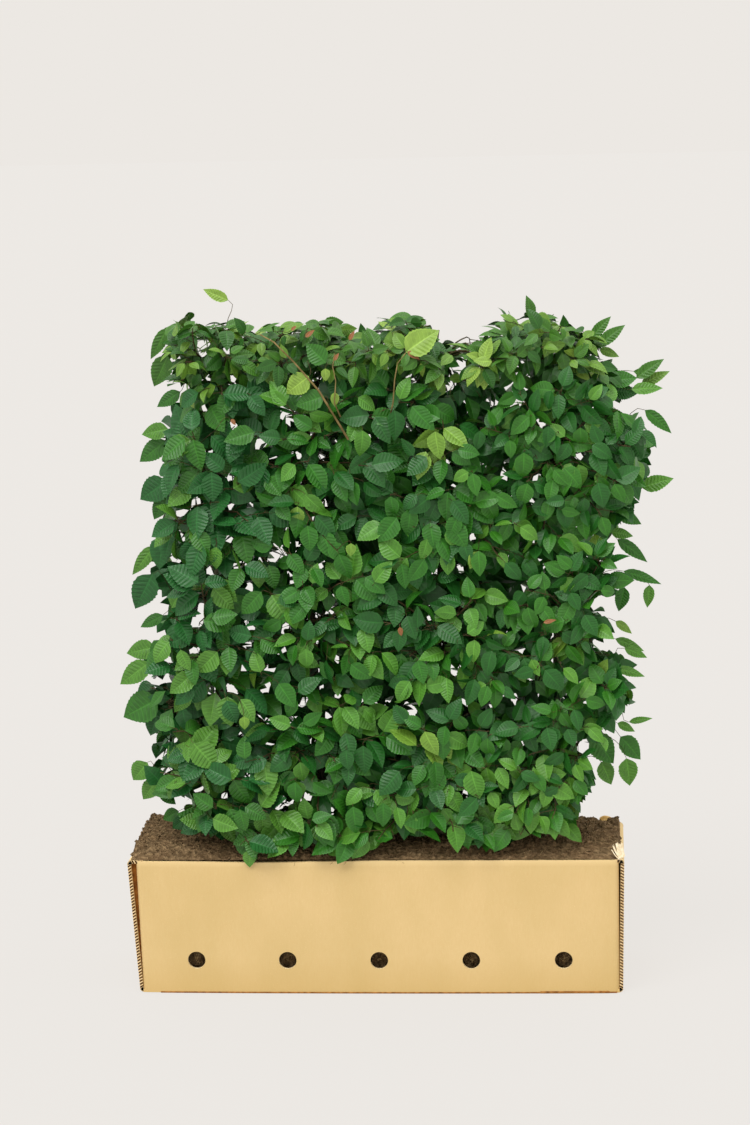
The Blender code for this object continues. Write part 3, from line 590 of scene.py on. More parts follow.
def bark_material():
    bark = Surface("bark", (96, 82, 62), roughness=0.75)
    streak = bark.noise(90.0, detail=6.0, stretch=(1, 1, 0.25))
    patch = bark.noise(14.0)
    base = bark.mix(streak, (70, 60, 46), (132, 118, 92))
    base = bark.mix(patch, base, (104, 100, 78))
    material = bark.finish(base)
    bark.bump(streak, strength=0.5, distance=0.0012)
    return material


def board_material():
    """Kraft paper: cloudy, fibrous and specked, with painted shade darkening it at the foot and a
    painted highlight paling it along the rim.
    """
    kraft = Surface("kraft_face", (231, 198, 136), roughness=0.82, specular=0.2)
    cloud = kraft.noise(7.0, detail=4.0, stretch=(1, 1, 0.5))
    fibre = kraft.noise(420.0, detail=4.0, stretch=(1, 1, 0.18), low=0.3, high=0.7)
    speck = kraft.noise(700.0, detail=2.0, low=0.66, high=0.74)
    fibre_share = kraft.math("MULTIPLY", fibre, 0.22)
    speck_share = kraft.math("MULTIPLY", speck, 0.5)
    base = kraft.mix(cloud, (210, 182, 125), (220, 191, 136))
    base = kraft.mix(fibre_share, base, (207, 170, 108))
    base = kraft.mix(speck_share, base, (244, 220, 168))
    # Painted shade: darker towards the board's foot.
    painted_foot_shade = kraft.math("MULTIPLY", kraft.height_share(0.080, 0.0), 0.42)
    base = kraft.mix(painted_foot_shade, base, (196, 161, 94))
    # Painted highlight: paler along the rim, where the fold catches the light.
    painted_rim_highlight = kraft.math("MULTIPLY", kraft.height_share(0.272, TROUGH_HEIGHT), 0.5)
    base = kraft.mix(painted_rim_highlight, base, (244, 216, 160))
    material = kraft.finish(base)
    kraft.bump(fibre, strength=0.25, distance=0.0004)
    return material


# Papers, straw and thin barks: dark and light colour, and how fine their fibres are
PAPERS = {
    # Twigs: darker than the stems' bark, partly the young wood's own olive-brown and partly painted
    # shade of the crown's inside
    "young_bark_painted_shade": ((58, 52, 34), (92, 80, 52), 60.0),
    "shoot_bark": ((104, 90, 52), (146, 126, 82), 60.0),
    "cut_edge": ((214, 184, 132), (242, 222, 176), 500.0),
    "flute": ((206, 172, 118), (244, 218, 170), 300.0),
    # Painted shade: the dark plate in the flutes' hollows and in the gaps beside the right-hand end
    "core": ((56, 32, 8), (92, 58, 20), 60.0),
    # Painted shade: kraft darkened for the gaps between the folded corners and the ends
    "tuck_painted_shade": ((100, 56, 14), (140, 86, 30), 60.0),
    "torn_liner": ((222, 200, 158), (246, 234, 204), 160.0),
    # Painted shade: the dark line of the folds under the front panel's foot
    "fold": ((118, 72, 28), (172, 118, 58), 90.0),
    # Painted light: board brightened against the shade that the key light leaves on the tab
    "tab": ((224, 176, 100), (252, 214, 146), 160.0),
    "marks": ((96, 66, 34), (150, 104, 54), 120.0),
    "straw": ((128, 104, 70), (186, 160, 116), 90.0),
}


def paper_material(name):
    """Bare paper, straw or thin bark with cloudy fibres between two colours."""
    dark, light, scale = PAPERS[name]
    paper = Surface(name, light, roughness=0.85, specular=0.15)
    fibre = paper.noise(scale, detail=4.0)
    return paper.finish(paper.mix(fibre, dark, light))


def soil_material():
    soil = Surface("soil", (89, 74, 49), roughness=0.95, specular=0.12)
    grain = soil.noise(260.0, detail=6.0, low=0.40, high=0.60)
    clod = soil.noise(95.0, detail=6.0, low=0.38, high=0.62)
    patch = soil.noise(26.0, detail=4.0)
    base = soil.mix(clod, (84, 67, 44), (152, 127, 93))
    base = soil.mix(soil.math("MULTIPLY", grain, 0.5), base, (112, 92, 66))
    base = soil.mix(soil.math("MULTIPLY", patch, 0.35), base, (124, 96, 68))
    material = soil.finish(base)
    soil.bump(clod, strength=0.9, distance=0.004)
    return material


# The plant's frame, by the source's rule

class Stem:
    """A stem's middle line and radius against height."""

    def __init__(self, index):
        self.index = index
        self.foot_x = (index - (STEM_COUNT - 1) / 2) * STEM_SPACING
        self.foot_z = TROUGH_HEIGHT + SOIL_EDGE + SOIL_RISE
        self.top = STEM_TOP + STEM_TOP_STEP * math.cos(STEM_TOP_PHASE * index)
        rings = [(ring / (STEM_RINGS - 1)) ** RING_CROWDING for ring in range(STEM_RINGS)]
        self.path = [self.place(share) for share in rings]

    def place(self, share):
        phase = SWAY_PHASES[0] + SWAY_PHASES[1] * self.index
        sway = math.sin(math.pi * min(share * SWAY_START, 1) / 2)
        x = self.foot_x + STEM_LEANS[self.index] * share
        x += SWAY_X * sway * math.sin(phase + SWAY_WAVES[0] * share)
        y = SWAY_Y * sway * math.sin(2 * phase + SWAY_WAVES[1] * share)
        return Vector((x, y, self.foot_z + (self.top - self.foot_z) * share))

    def radius(self, share):
        above = share * (self.top - self.foot_z) / FLARE_HEIGHT
        plain = STEM_FOOT_RADIUS + (STEM_TIP_RADIUS - STEM_FOOT_RADIUS) * min(share, 1.0)
        return plain * (1 + FLARE * math.exp(-FLARE_FALL * above))

    def at(self, height):
        for low, high in zip(self.path, self.path[1:]):
            if height <= high.z:
                break
        return low.lerp(high, (height - low.z) / (high.z - low.z))


def crown_half_depth(x, z):
    """Half of the crown's depth at a place seen from the front."""
    top_share = clamp((z - CROWN_TOP_STARTS) / CROWN_TOP_RUN)
    depth = CROWN_HALF_DEPTH + (CROWN_TOP_HALF_DEPTH - CROWN_HALF_DEPTH) * top_share ** 2
    return depth * (1 - CROWN_END_THINNING * (abs(x) / CROWN_HALF_LENGTH) ** 4)


def crown_depth(x, y, z):
    """How deep a point lies under the crown's outline; negative outside it."""
    return min(
        x - profile_value(LEFT_EDGE, z),
        profile_value(RIGHT_EDGE, z) - x,
        z - profile_value(FOOT_EDGE, x),
        profile_value(TOP_EDGE, x) - z,
        crown_half_depth(x, z) - abs(y),
    )


class Space:
    """One mass's share of the crown, as in the source."""

    def __init__(self, name, middle, outward, stem, side, drop):
        self.name = name
        self.middle = middle
        self.outward = outward.normalized()
        self.stem = stem
        self.side = side
        self.drop = drop
        self.walls = []

    def add_wall(self, point, normal):
        self.walls.append((point, normal.normalized()))

    def wall_reach(self, direction):
        reach = FARTHEST
        for at, normal in self.walls:
            towards = direction.dot(normal)
            if towards > 0:
                reach = min(reach, (at - self.middle).dot(normal) / towards)
        return reach

    def crown_reach(self, direction):
        near, far = 0.0, FARTHEST
        for _ in range(HALVINGS):
            half = (near + far) / 2
            if crown_depth(*(self.middle + direction * half)) > 0:
                near = half
            else:
                far = half
        return near


def make_spaces(stems, rng):
    spaces = []
    for index, stem in enumerate(stems):
        for side, side_name in ((-1, "front"), (1, "back")):
            for level, (level_name, height) in enumerate(LEVELS):
                stagger = LEVEL_STAGGER * (1 if (index + (side > 0)) % 2 else -1)
                z = height + stagger + rng.uniform(-SHIFT_Z, SHIFT_Z)
                x = stem.at(min(z, STEM_TOP)).x * SPREAD + rng.uniform(-SHIFT_X, SHIFT_X)
                name = f"foliage_{side_name}_{level_name}_{index + 1}"
                outward = Vector((0, side, SIDE_TILT))
                middle = Vector((x, side * SIDE_MIDDLE, z))
                drop = BOUGH_DROP if level else None
                space = Space(name, middle, outward, stem, side, drop)
                space.add_wall(Vector((0, side * MIDDLE_GAP, 0)), Vector((0, -side, 0)))
                spaces.append(space)
        tip = stem.path[-1]
        middle = Vector((tip.x * SPREAD, 0, TOP_MIDDLE))
        space = Space(f"foliage_top_{index + 1}", middle, Vector((0, 0, 1)), stem, 0, None)
        space.add_wall(tip, Vector((0, 0, -1)))
        spaces.append(space)
    for side, side_name, stem in ((-1, "left", stems[0]), (1, "right", stems[-1])):
        for level_name, height, drop in END_LEVELS:
            name = f"foliage_{side_name}_{level_name}"
            middle = Vector((END_MIDDLE[side], 0, height))
            space = Space(name, middle, Vector((side, 0, SIDE_TILT)), stem, 0, drop)
            space.add_wall(Vector((END_LIMIT[side], 0, 0)), Vector((-side, 0, 0)))
            spaces.append(space)
    for index, first in enumerate(spaces):
        for second in spaces[index + 1:]:
            across = second.middle - first.middle
            if first.side * second.side < 0 or across.length > NEIGHBOUR_RANGE:
                continue
            half_way = first.middle + across / 2
            first.add_wall(half_way, across)
            second.add_wall(half_way, -across)
    return spaces


def bough_tip(space):
    """Where a mass's bough ends."""
    if space.side == 0:
        edge = END_LIMIT[1 if space.outward.x > 0 else -1]
        return Vector((edge, 0.0, space.middle.z - BOUGH_TIP_DROP))
    inward = Vector((space.middle.x, 0.0, space.middle.z))
    tip = inward.lerp(space.middle, BOUGH_TIP_SHARE)
    tip.x += (space.stem.at(tip.z).x - tip.x) * BOUGH_TIP_BEND
    tip.z -= BOUGH_TIP_DROP
    return tip


def spread_directions(count, outward, turn):
    """Directions spread evenly all round, then turned outwards."""
    found = []
    for index in range(count):
        height = 1 - 2 * (index + 0.5) / count
        around = turn + index * math.pi * (3 - math.sqrt(5))
        ring = math.sqrt(1 - height * height)
        direction = Vector((ring * math.cos(around), ring * math.sin(around), height))
        found.append((direction + outward * OUTWARD_PULL).normalized())
    return found


def bezier(p0, p1, p2, p3, count):
    """Points along a curve from the first point to the last."""
    share = np.linspace(0, 1, count)[:, None]
    p0, p1, p2, p3 = (np.array(p, float) for p in (p0, p1, p2, p3))
    return (
        p0 * (1 - share) ** 3
        + 3 * p1 * share * (1 - share) ** 2
        + 3 * p2 * share ** 2 * (1 - share)
        + p3 * share ** 3
    )


# Leaves

# A blade's outline, its veins that run forward, its teeth and its pleats
BLADE_SCALE = 3.43
BLADE_FOOT_POWER = 0.70
BLADE_TIP_POWER = 1.14
ROW_CROWDING = 0.94
VEIN_LEAD = 0.17
VEIN_LEAD_FROM = 0.2
VEIN_BEND = 1.15
TOOTH_OUT = 0.045
TOOTH_IN = 0.035
PLEAT_SWELLS = (0.30, 1.0, 0.65)
PLEAT_RISE = 4
PLEAT_FALL = 5


def blade_outline(level):
    """A blade's half width, 1 at its widest, at a share of its length."""
    return BLADE_SCALE * level ** BLADE_FOOT_POWER * (1 - level) ** BLADE_TIP_POWER


def seen_outline(levels):
    """The outline's half widths at many levels, also past a blade's ends."""
    return blade_outline(np.clip(levels, 0.001, 0.999))


def leaf_form(rows, columns, teeth):
    """Flat leaf of length 1: x across in half widths, y along, pleat height, map, faces."""
    points, pleats, places, faces = [], [], [], []
    index = {}

    def add(side, column, row):
        key = (side if column else 0, column, row)
        if row in (0, rows):
            key = (0, 0, row)
        if key in index:
            return index[key]
        level = (row / rows) ** ROW_CROWDING
        share = column / columns
        lead = VEIN_LEAD * (1 - level) * min(level / VEIN_LEAD_FROM, 1)
        y = level + lead * share ** VEIN_BEND
        vein = row % 2 == 0
        width = blade_outline(clamp(level + lead))
        tooth = (TOOTH_OUT if vein else -TOOTH_IN) * teeth * (column == columns)
        x = side * share * width * (1 + tooth)
        if row in (0, rows):
            x, y = 0.0, float(row == rows)
        height = 0.0
        if 0 < row < rows:
            swell = PLEAT_SWELLS[min(2, round(2 * share))]
            fade = min(1, PLEAT_RISE * level, PLEAT_FALL * (1 - level))
            height = (-1 if vein else 1) * swell * fade * teeth
        index[key] = len(points)
        points.append((x, y))
        pleats.append(height)
        places.append((0.5 + 0.5 * side * share, row / rows))
        return index[key]

    for side in (-1, 1):
        for row in range(rows):
            for column in range(columns):
                a, b = add(side, column, row), add(side, column + 1, row)
                c, d = add(side, column + 1, row + 1), add(side, column, row + 1)
                loop = [a, b, c, d] if side > 0 else [a, d, c, b]
                ring = [v for i, v in enumerate(loop) if v != loop[i - 1]]
                for k in range(1, len(ring) - 1):
                    faces.append((ring[0], ring[k], ring[k + 1]))
    form = [np.array(values, float) for values in (points, pleats, places)]
    return (*form, np.array(faces, int))


class Leaves:
    """Gathers the leaves of one tone and makes one piece of them."""

    def __init__(self):
        self.rows = {True: [], False: []}

    def add(self, fine, root, across, along, facing, length, width, shape):
        self.rows[fine].append((*root, *across, *along, *facing, length, width, *shape))

    def build(self, name, material, forms):
        parts = Parts()
        for fine, rows in self.rows.items():
            if not rows:
                continue
            points, pleats, places, faces = forms[fine]
            data = np.array(rows)
            world = place_leaves(data, points, pleats)
            count, size = world.shape[:2]
            ids = faces[None] + (np.arange(count) * size)[:, None, None]
            parts.add(world, ids.reshape(-1, 3), np.tile(places, (count, 1)))
        return parts.build(name, material, False)


def place_leaves(data, points, pleats):
    """Bends each leaf by its own values and sets it in the world."""
    root, across, along, facing = (data[:, None, k:k + 3] for k in (0, 3, 6, 9))
    length, width, fold, curl, cup, twist, pleat, bend = (data[:, k:k + 1] for k in range(12, 20))
    x0, y0 = points[None, :, 0], points[None, :, 1]
    x = x0 * width * np.cos(fold)
    z = np.abs(x0) * width * np.sin(fold) + pleats[None] * pleat
    z = z - cup * width * x0 ** 2
    x = x + bend * y0 ** 2
    turn = twist * y0
    x, z = x * np.cos(turn) - z * np.sin(turn), x * np.sin(turn) + z * np.cos(turn)
    arc = curl * y0
    y = np.sin(arc) / curl + z * np.sin(arc)
    z = -(1 - np.cos(arc)) / curl + z * np.cos(arc)
    x, y, z = (v[..., None] * length[..., None] for v in (x, y, z))
    return root + across * x + along * y + facing * z


# Colours of the leaves in each zone, from the deepest tone to the palest, and their shares
TONES = ("deep", "green", "bright", "lime")
LEAF_COLOURS = {
    "left": ((32, 92, 37), (49, 107, 28), (82, 134, 45), (112, 154, 54)),
    "middle": ((30, 89, 28), (45, 108, 25), (79, 136, 43), (112, 153, 54)),
    "right": ((33, 93, 27), (50, 112, 25), (84, 139, 43), (116, 156, 55)),
    "top": ((43, 93, 27), (62, 112, 30), (98, 139, 46), (130, 164, 64)),
}
TONE_SHARES = {
    "left": (0.44, 0.38, 0.168, 0.012),
    "middle": (0.36, 0.42, 0.205, 0.015),
    "right": (0.42, 0.38, 0.185, 0.015),
    "top": (0.31, 0.39, 0.25, 0.05),
}

# Darker patches on a blade
BLADE_DARKER = 0.80
BLADE_DARKER_SHARE = 0.45

# Paler lines on a blade, the veins and midrib in their own colour and the rim as a painted highlight:
# their colour, their widths as shares of the beat between veins or of the blade's width, and how
# strongly they show on pleated and on plain leaves
VEIN_LIGHTER = 1.22
VEIN_LIFT = 12
VEIN_WIDTH = 0.07
RIB_WIDTH = 0.030
PAINTED_RIM_HIGHLIGHT_FROM = 0.44
RIB_SHARE = 0.50
VEIN_SHARES = {True: 0.42, False: 0.16}
PAINTED_RIM_HIGHLIGHT_SHARES = {True: 0.12, False: 0.30}

# Sizes and looks of the leaves in each zone
LEAF_LENGTHS = {
    "left": (0.048, 0.076),
    "middle": (0.044, 0.070),
    "right": (0.038, 0.060),
    "top": (0.028, 0.052),
}
LEAF_HALF_WIDTHS = {
    "left": (0.30, 0.36),
    "middle": (0.29, 0.35),
    "right": (0.28, 0.34),
    "top": (0.25, 0.32),
}
LEAF_PLEATS = {"left": 0.0125, "middle": 0.0075, "right": 0.0045, "top": 0.0075}
FACING_JITTER = {"left": 0.32, "middle": 0.38, "right": 0.42, "top": 0.50}
STRONG_JITTER = 0.85
STRONG_JITTER_SHARE = 0.15
LEAF_OVERHANG = 0.008
HANGING_LOWEST = 0.262
HANGING_FRONT = -TROUGH_DEPTH / 2 - 0.004
SOIL_CLEAR = 0.305
FINE_DEPTH = 0.060
END_FACING = 0.35
ZONE_EDGE = 0.20
TOP_ZONE = 1.27
LOW_ZONE = 0.50
# Share of low outer leaves of the deepest tone that turn bright, as painted light against the shade
# under the crown
LOW_PAINTED_LIGHT_SHARE = 0.4
SAME_TONE_SHARE = 0.7
# Share of inner leaves that take the deepest tone, as painted shade of the crown's inside
INSIDE_PAINTED_SHADE_SHARE = 0.5

# Limits of a blade's fold, curl, cup, twist, share of the zone's pleats, and sideways bend
SHAPE_RANGES = (
    (0.05, 0.32), (0.20, 0.90), (-0.10, 0.20), (-0.35, 0.35), (0.6, 1.3), (-0.06, 0.06),
)

# How a leaf hangs and faces: its blade faces out and up, and its tip follows the twig, the side
# that it stands on, gravity, and the pull outwards near the crown's ends
BLADE_MIDDLE = 0.47
PETIOLE_LENGTHS = (0.006, 0.011)
PETIOLE_RADII = (0.0007, 0.0005)
PETIOLE_WAY = (0.5, 0.3, 0.2)
PETIOLE_BEND = 0.5
PETIOLE_REST = 0.6
OUT_FACING = 0.85
UP_FACING = 0.50
TWIG_WISH = 0.35
SIDE_WISH = 0.65
OUT_WISH = 0.15
SMALLEST_WISH = 0.15
WISH_JITTER = 0.25
WISH_JITTER_GAIN = 0.20
HANG = 0.85
UPRIGHT_FROM = 1.22
UPRIGHT_RUN = 0.15
UPRIGHT_LESS_HANG = 0.8
END_LESS_HANG = 0.45
END_PULL = 1.1
END_PULL_FADE = 0.06
OUTWARD_FADE = 0.05
FRONT_BACK_PULL = 0.12

# How branchlets grow from a mass's stalk: the stretch of the stalk that they start from, the
# shares of stalk and tip in their first heading, and of tip, outward and up in their last
START_STRETCH = (0.15, 0.95)
START_WAY = (0.7, 0.9)
END_WAY = (0.6, 0.5, 0.1)
SHORTEST_BRANCHLET = 0.03
DRAW_BACK = 0.006
BRANCHLET_BENDS = (0.35, 0.3)
BRANCHLET_ARCH = 0.08
BRANCHLET_WOBBLE = 0.0016
BRANCHLET_WITHIN = 0.004
BRANCHLET_FOOT_RADIUS = 0.0014
BRANCHLET_RADIUS_GAIN = 0.008
BRANCHLET_TIP_RADIUS = 0.0010
STALK_TIP_RADIUS = 0.0016
STALK_BENDS = (0.3, 0.8)
STALK_STEP = 0.1
PLANE_OUTWARD = 0.4
PLANE_JITTER = 0.25
BRANCHLET_LEAVES = (0.35, 1.0, 0.030)

# How twigs grow from a branchlet: their places along it, lengths, headings as shares of the
# branchlet's way, of the side and of outward, and the stretch and spacing of their leaves
TWIG_PLACES = (0.30, 0.46, 0.60, 0.74, 0.88)
TWIG_PLACE_JITTER = 0.04
TWIG_LENGTHS = (0.045, 0.085)
TWIG_FOOT_LENGTH = 1.15
TWIG_LENGTH_FALL = 0.5
TWIG_WAY = (0.55, 0.85, 0.15)
SHORTEST_TWIG = 0.012
TWIG_SHORTENING = 0.75
TWIG_DROOP = 0.25
TWIG_BENDS = (0.33, 0.3)
TWIG_RADII = (0.0010, 0.0006)
TWIG_TONE_SHARE = 0.6
TWIG_LEAVES = (0.22, 1.0, 0.019)
TIP_WITHIN = 0.008

# How far a mass's tips reach over its walls
OVER_WALL = 0.015
INNER_OVER_WALL = 0.01
SHORTEST_REACH = 0.02
MASS_PULL = 0.2

# Leaves that stand out by colour or place: zone, tone, root, tip and half width per length
MARKED_LEAVES = (
    ("top", "lime", (-0.295, 0.020, 1.438), (-0.349, 0.020, 1.462), 0.20),
    ("top", "lime", (-0.113, -0.168, 1.299), (-0.162, -0.168, 1.263), 0.38),
    ("top", "lime", (0.083, -0.158, 1.343), (0.148, -0.152, 1.392), 0.35),
    ("left", "green", (-0.078, -0.166, 1.325), (-0.119, -0.166, 1.365), 0.36),
    ("left", "green", (-0.083, -0.172, 1.259), (-0.144, -0.172, 1.239), 0.34),
    ("top", "lime", (-0.079, -0.172, 1.315), (-0.078, -0.172, 1.288), 0.34),
    ("top", "lime", (-0.061, -0.174, 1.267), (-0.061, -0.174, 1.236), 0.28),
    ("left", "lime", (-0.264, -0.184, 0.602), (-0.263, -0.184, 0.572), 0.36),
    ("middle", "lime", (-0.035, -0.184, 0.960), (-0.036, -0.184, 0.931), 0.36),
    ("right", "bright", (0.555, 0.000, 1.038), (0.620, 0.000, 1.062), 0.25),
    ("right", "bright", (0.569, 0.000, 0.834), (0.566, 0.000, 0.783), 0.23),
    ("right", "lime", (0.498, 0.000, 0.758), (0.535, 0.000, 0.732), 0.20),
    ("right", "bright", (0.524, 0.000, 0.542), (0.574, 0.000, 0.553), 0.14),
    ("right", "green", (0.562, 0.000, 1.200), (0.622, 0.000, 1.153), 0.17),
    ("right", "bright", (0.490, 0.000, 0.946), (0.538, 0.000, 0.940), 0.24),
    ("right", "bright", (0.516, 0.000, 0.700), (0.566, 0.000, 0.682), 0.20),
    ("top", "green", (0.470, 0.000, 1.335), (0.521, 0.000, 1.380), 0.20),
    ("top", "green", (0.455, 0.010, 1.350), (0.492, 0.010, 1.396), 0.20),
    ("top", "green", (0.545, 0.000, 1.266), (0.600, 0.000, 1.309), 0.20),
    ("top", "bright", (0.555, 0.010, 1.250), (0.613, 0.010, 1.283), 0.18),
    ("left", "bright", (-0.265, -0.158, 0.312), (-0.264, -0.163, 0.273), 0.36),
    ("top", "aged", (-0.062, -0.170, 1.330), (-0.052, -0.170, 1.346), 0.22),
    ("top", "aged", (-0.118, -0.168, 1.378), (-0.100, -0.168, 1.394), 0.20),
    ("top", "aged", (-0.030, -0.164, 1.370), (-0.020, -0.164, 1.390), 0.20),
    ("top", "aged", (0.086, -0.160, 1.345), (0.112, -0.160, 1.330), 0.20),
    ("top", "aged", (-0.146, -0.168, 1.392), (-0.136, -0.168, 1.402), 0.24),
    ("left", "aged", (-0.272, -0.180, 1.216), (-0.262, -0.182, 1.204), 0.26),
    ("right", "aged", (0.352, -0.182, 0.792), (0.378, -0.184, 0.800), 0.16),
    ("middle", "aged", (0.060, -0.184, 0.786), (0.064, -0.184, 0.766), 0.26),
)

# Leaves that stand out of the ends near the middle plane: tone, x and height of the root and of
# the tip, and half width per length
EDGE_LEAVES = (
    ("green", -0.419, 1.386, -0.459, 1.318, 0.18),
    ("green", -0.388, 1.386, -0.386, 1.319, 0.42),
    ("green", -0.424, 1.326, -0.457, 1.258, 0.30),
    ("green", -0.397, 1.253, -0.450, 1.220, 0.24),
    ("bright", -0.427, 1.174, -0.486, 1.162, 0.30),
    ("green", -0.434, 1.148, -0.495, 1.101, 0.28),
    ("deep", -0.431, 1.066, -0.493, 1.025, 0.38),
    ("green", -0.438, 1.030, -0.465, 0.980, 0.30),
    ("bright", -0.467, 0.925, -0.519, 0.859, 0.18),
    ("deep", -0.469, 0.869, -0.511, 0.790, 0.32),
    ("green", -0.452, 0.779, -0.504, 0.751, 0.22),
    ("bright", -0.473, 0.708, -0.538, 0.693, 0.32),
    ("bright", -0.483, 0.680, -0.551, 0.629, 0.27),
    ("green", -0.469, 0.598, -0.549, 0.555, 0.38),
    ("deep", -0.470, 0.572, -0.491, 0.511, 0.34),
    ("bright", -0.495, 0.463, -0.529, 0.421, 0.42),
    ("bright", -0.477, 0.423, -0.511, 0.375, 0.34),
    ("green", -0.435, 0.350, -0.472, 0.329, 0.36),
    ("deep", -0.418, 0.340, -0.448, 0.316, 0.40),
    ("green", -0.400, 0.347, -0.392, 0.315, 0.36),
    ("bright", 0.470, 1.325, 0.513, 1.312, 0.22),
    ("green", 0.493, 1.262, 0.547, 1.272, 0.34),
    ("deep", 0.497, 1.240, 0.549, 1.238, 0.34),
    ("green", 0.539, 1.279, 0.600, 1.268, 0.15),
    ("bright", 0.535, 1.244, 0.600, 1.251, 0.20),
    ("green", 0.500, 0.988, 0.557, 0.965, 0.24),
    ("green", 0.503, 0.929, 0.571, 0.882, 0.16),
    ("green", 0.515, 0.866, 0.598, 0.842, 0.13),
    ("green", 0.517, 0.830, 0.506, 0.775, 0.27),
    ("bright", 0.497, 0.718, 0.561, 0.694, 0.15),
    ("bright", 0.499, 0.660, 0.561, 0.645, 0.16),
    ("bright", 0.500, 0.540, 0.539, 0.523, 0.22),
    ("green", 0.506, 0.508, 0.553, 0.458, 0.30),
    ("bright", 0.518, 0.467, 0.528, 0.404, 0.32),
    ("green", 0.447, 0.515, 0.497, 0.452, 0.34),
    ("bright", 0.465, 0.454, 0.490, 0.402, 0.32),
)
EDGE_PLACES = (-0.012, 0.0, 0.012)
MARKED_FACING = (0.0, -1.0, 0.35)
MARKED_SHAPE = (0.18, 0.35, 0.05, 0.10, 0.0100, 0.04)
MARKED_STALK_RADII = (0.0009, 0.0006)
MARKED_STALK_RISE = 0.006
MARKED_STALK_BENDS = (0.35, 0.4)
AGED_COLOUR = (142, 92, 52)

# Bare shoots in front of the leaves: points, foot radius and tip radius
SHOOTS = (
    (((-0.211, -0.158, 1.384), (-0.182, -0.168, 1.369), (-0.142, -0.176, 1.329),
      (-0.093, -0.178, 1.271), (-0.036, -0.172, 1.170)), 0.0012, 0.0024),
    (((-0.052, -0.160, 1.215), (-0.062, -0.178, 1.245), (-0.058, -0.180, 1.290),
      (-0.064, -0.174, 1.318), (-0.060, -0.168, 1.345)), 0.0016, 0.0008),
    (((0.048, -0.150, 1.215), (0.056, -0.172, 1.245), (0.060, -0.172, 1.290),
      (0.066, -0.166, 1.322), (0.083, -0.158, 1.343)), 0.0017, 0.0010),
)
SHOOT_POINTS = 5
SHOOT_SIDES = 6

# Grid that follows what the blades hide, on the middle plane
COVER_CORNER = np.array((-0.56, 0.24))
COVER_END = np.array((0.64, 1.45))
COVER_STEP = 0.004
COVER_MARGIN = 0.01
WAIST = 0.45
FILL_WITHIN = 0.020
FILL_CLEAR = 0.001
FILL_ROUNDS = 20
FRONT_ROUNDS = 7
HOLLOW_WAVES = 9.0
HOLLOW_FROM = 0.08
STEM_HIDDEN = 0.018
STEM_HIDDEN_FROM_TO = (0.36, 1.20)
FRONT_BLADES = -0.03
FRONT_NODES = -0.06
FILL_TRIALS = 900
FILL_NODES = 7
FILL_NEAR = 0.010
FILL_FAR = 0.058
FILL_DEPTH = 0.02
FILL_PETIOLE_RISE = 0.001
COVER_SHARE = 0.95
SMALLEST_SEEN = 0.001
STEEPEST_SEEN = 0.05
GAP_STEPS = (-1, -0.5, 0, 0.5, 1)
PINHOLE_FARTHEST = 0.55
PINHOLE_HEIGHTS = (0.36, 1.34)
HOLLOW_SLICE = 0.09
NOTCH_SLICE = 0.37

# How blades keep to the crown's ragged outline and clear of one another
BLADE_BEYOND = 0.012
ROOT_WITHIN = 0.016
NOTCH_WAVES = 22
NOTCH_DEPTH = 0.028
NOTCH_GAIN = 2.4
TOP_NOTCHES_FROM = 1.28
TOP_NOTCH_DEPTH = 0.030
CELL = 0.05
CUT_LIMIT = 0.85
LAYER_GAP = 0.003


def zone_of(x, z):
    """The part of the crown that a place belongs to."""
    if z > TOP_ZONE:
        return "top"
    if x < -ZONE_EDGE:
        return "left"
    return "right" if x > ZONE_EDGE else "middle"


def edge_leaves():
    """The leaves of the ends, written like the other leaves that stand out."""
    rows = []
    for number, (tone, x, z, tip_x, tip_z, half_width) in enumerate(EDGE_LEAVES):
        y = EDGE_PLACES[number % len(EDGE_PLACES)]
        rows.append((zone_of(x, z), tone, (x, y, z), (tip_x, y, tip_z), half_width))
    return tuple(rows)


def square_to(axis, vector):
    """The part of a vector that stands square to an axis."""
    return vector - axis * vector.dot(axis)


def path_node(path, share):
    """The point at a share of a path's steps, and the path's way there."""
    position = share * (len(path) - 1)
    low = min(int(position), len(path) - 2)
    run = path[low + 1] - path[low]
    return Vector(path[low] + run * (position - low)), Vector(run).normalized()


def open_circles(rng):
    """Circles that stay free of leaves: the sky gaps as rows of them, and the small openings."""
    circles = []
    for x, z, half_length, half_width, turn in SKY_GAPS:
        run = half_length - half_width
        across, up = math.cos(math.radians(turn)) * run, math.sin(math.radians(turn)) * run
        for share in GAP_STEPS:
            circles.append((x + across * share, z + up * share, half_width))
    for side, (count, smallest, largest) in PINHOLES.items():
        for _ in range(PINHOLE_TRIALS):
            x = side * rng.uniform(PINHOLES_FROM, PINHOLE_FARTHEST)
            z = rng.uniform(*PINHOLE_HEIGHTS)
            if count and all(math.hypot(x - c[0], z - c[1]) > PINHOLE_APART for c in circles):
                circles.append((x, z, rng.uniform(smallest, largest)))
                count -= 1
    return np.array(circles)


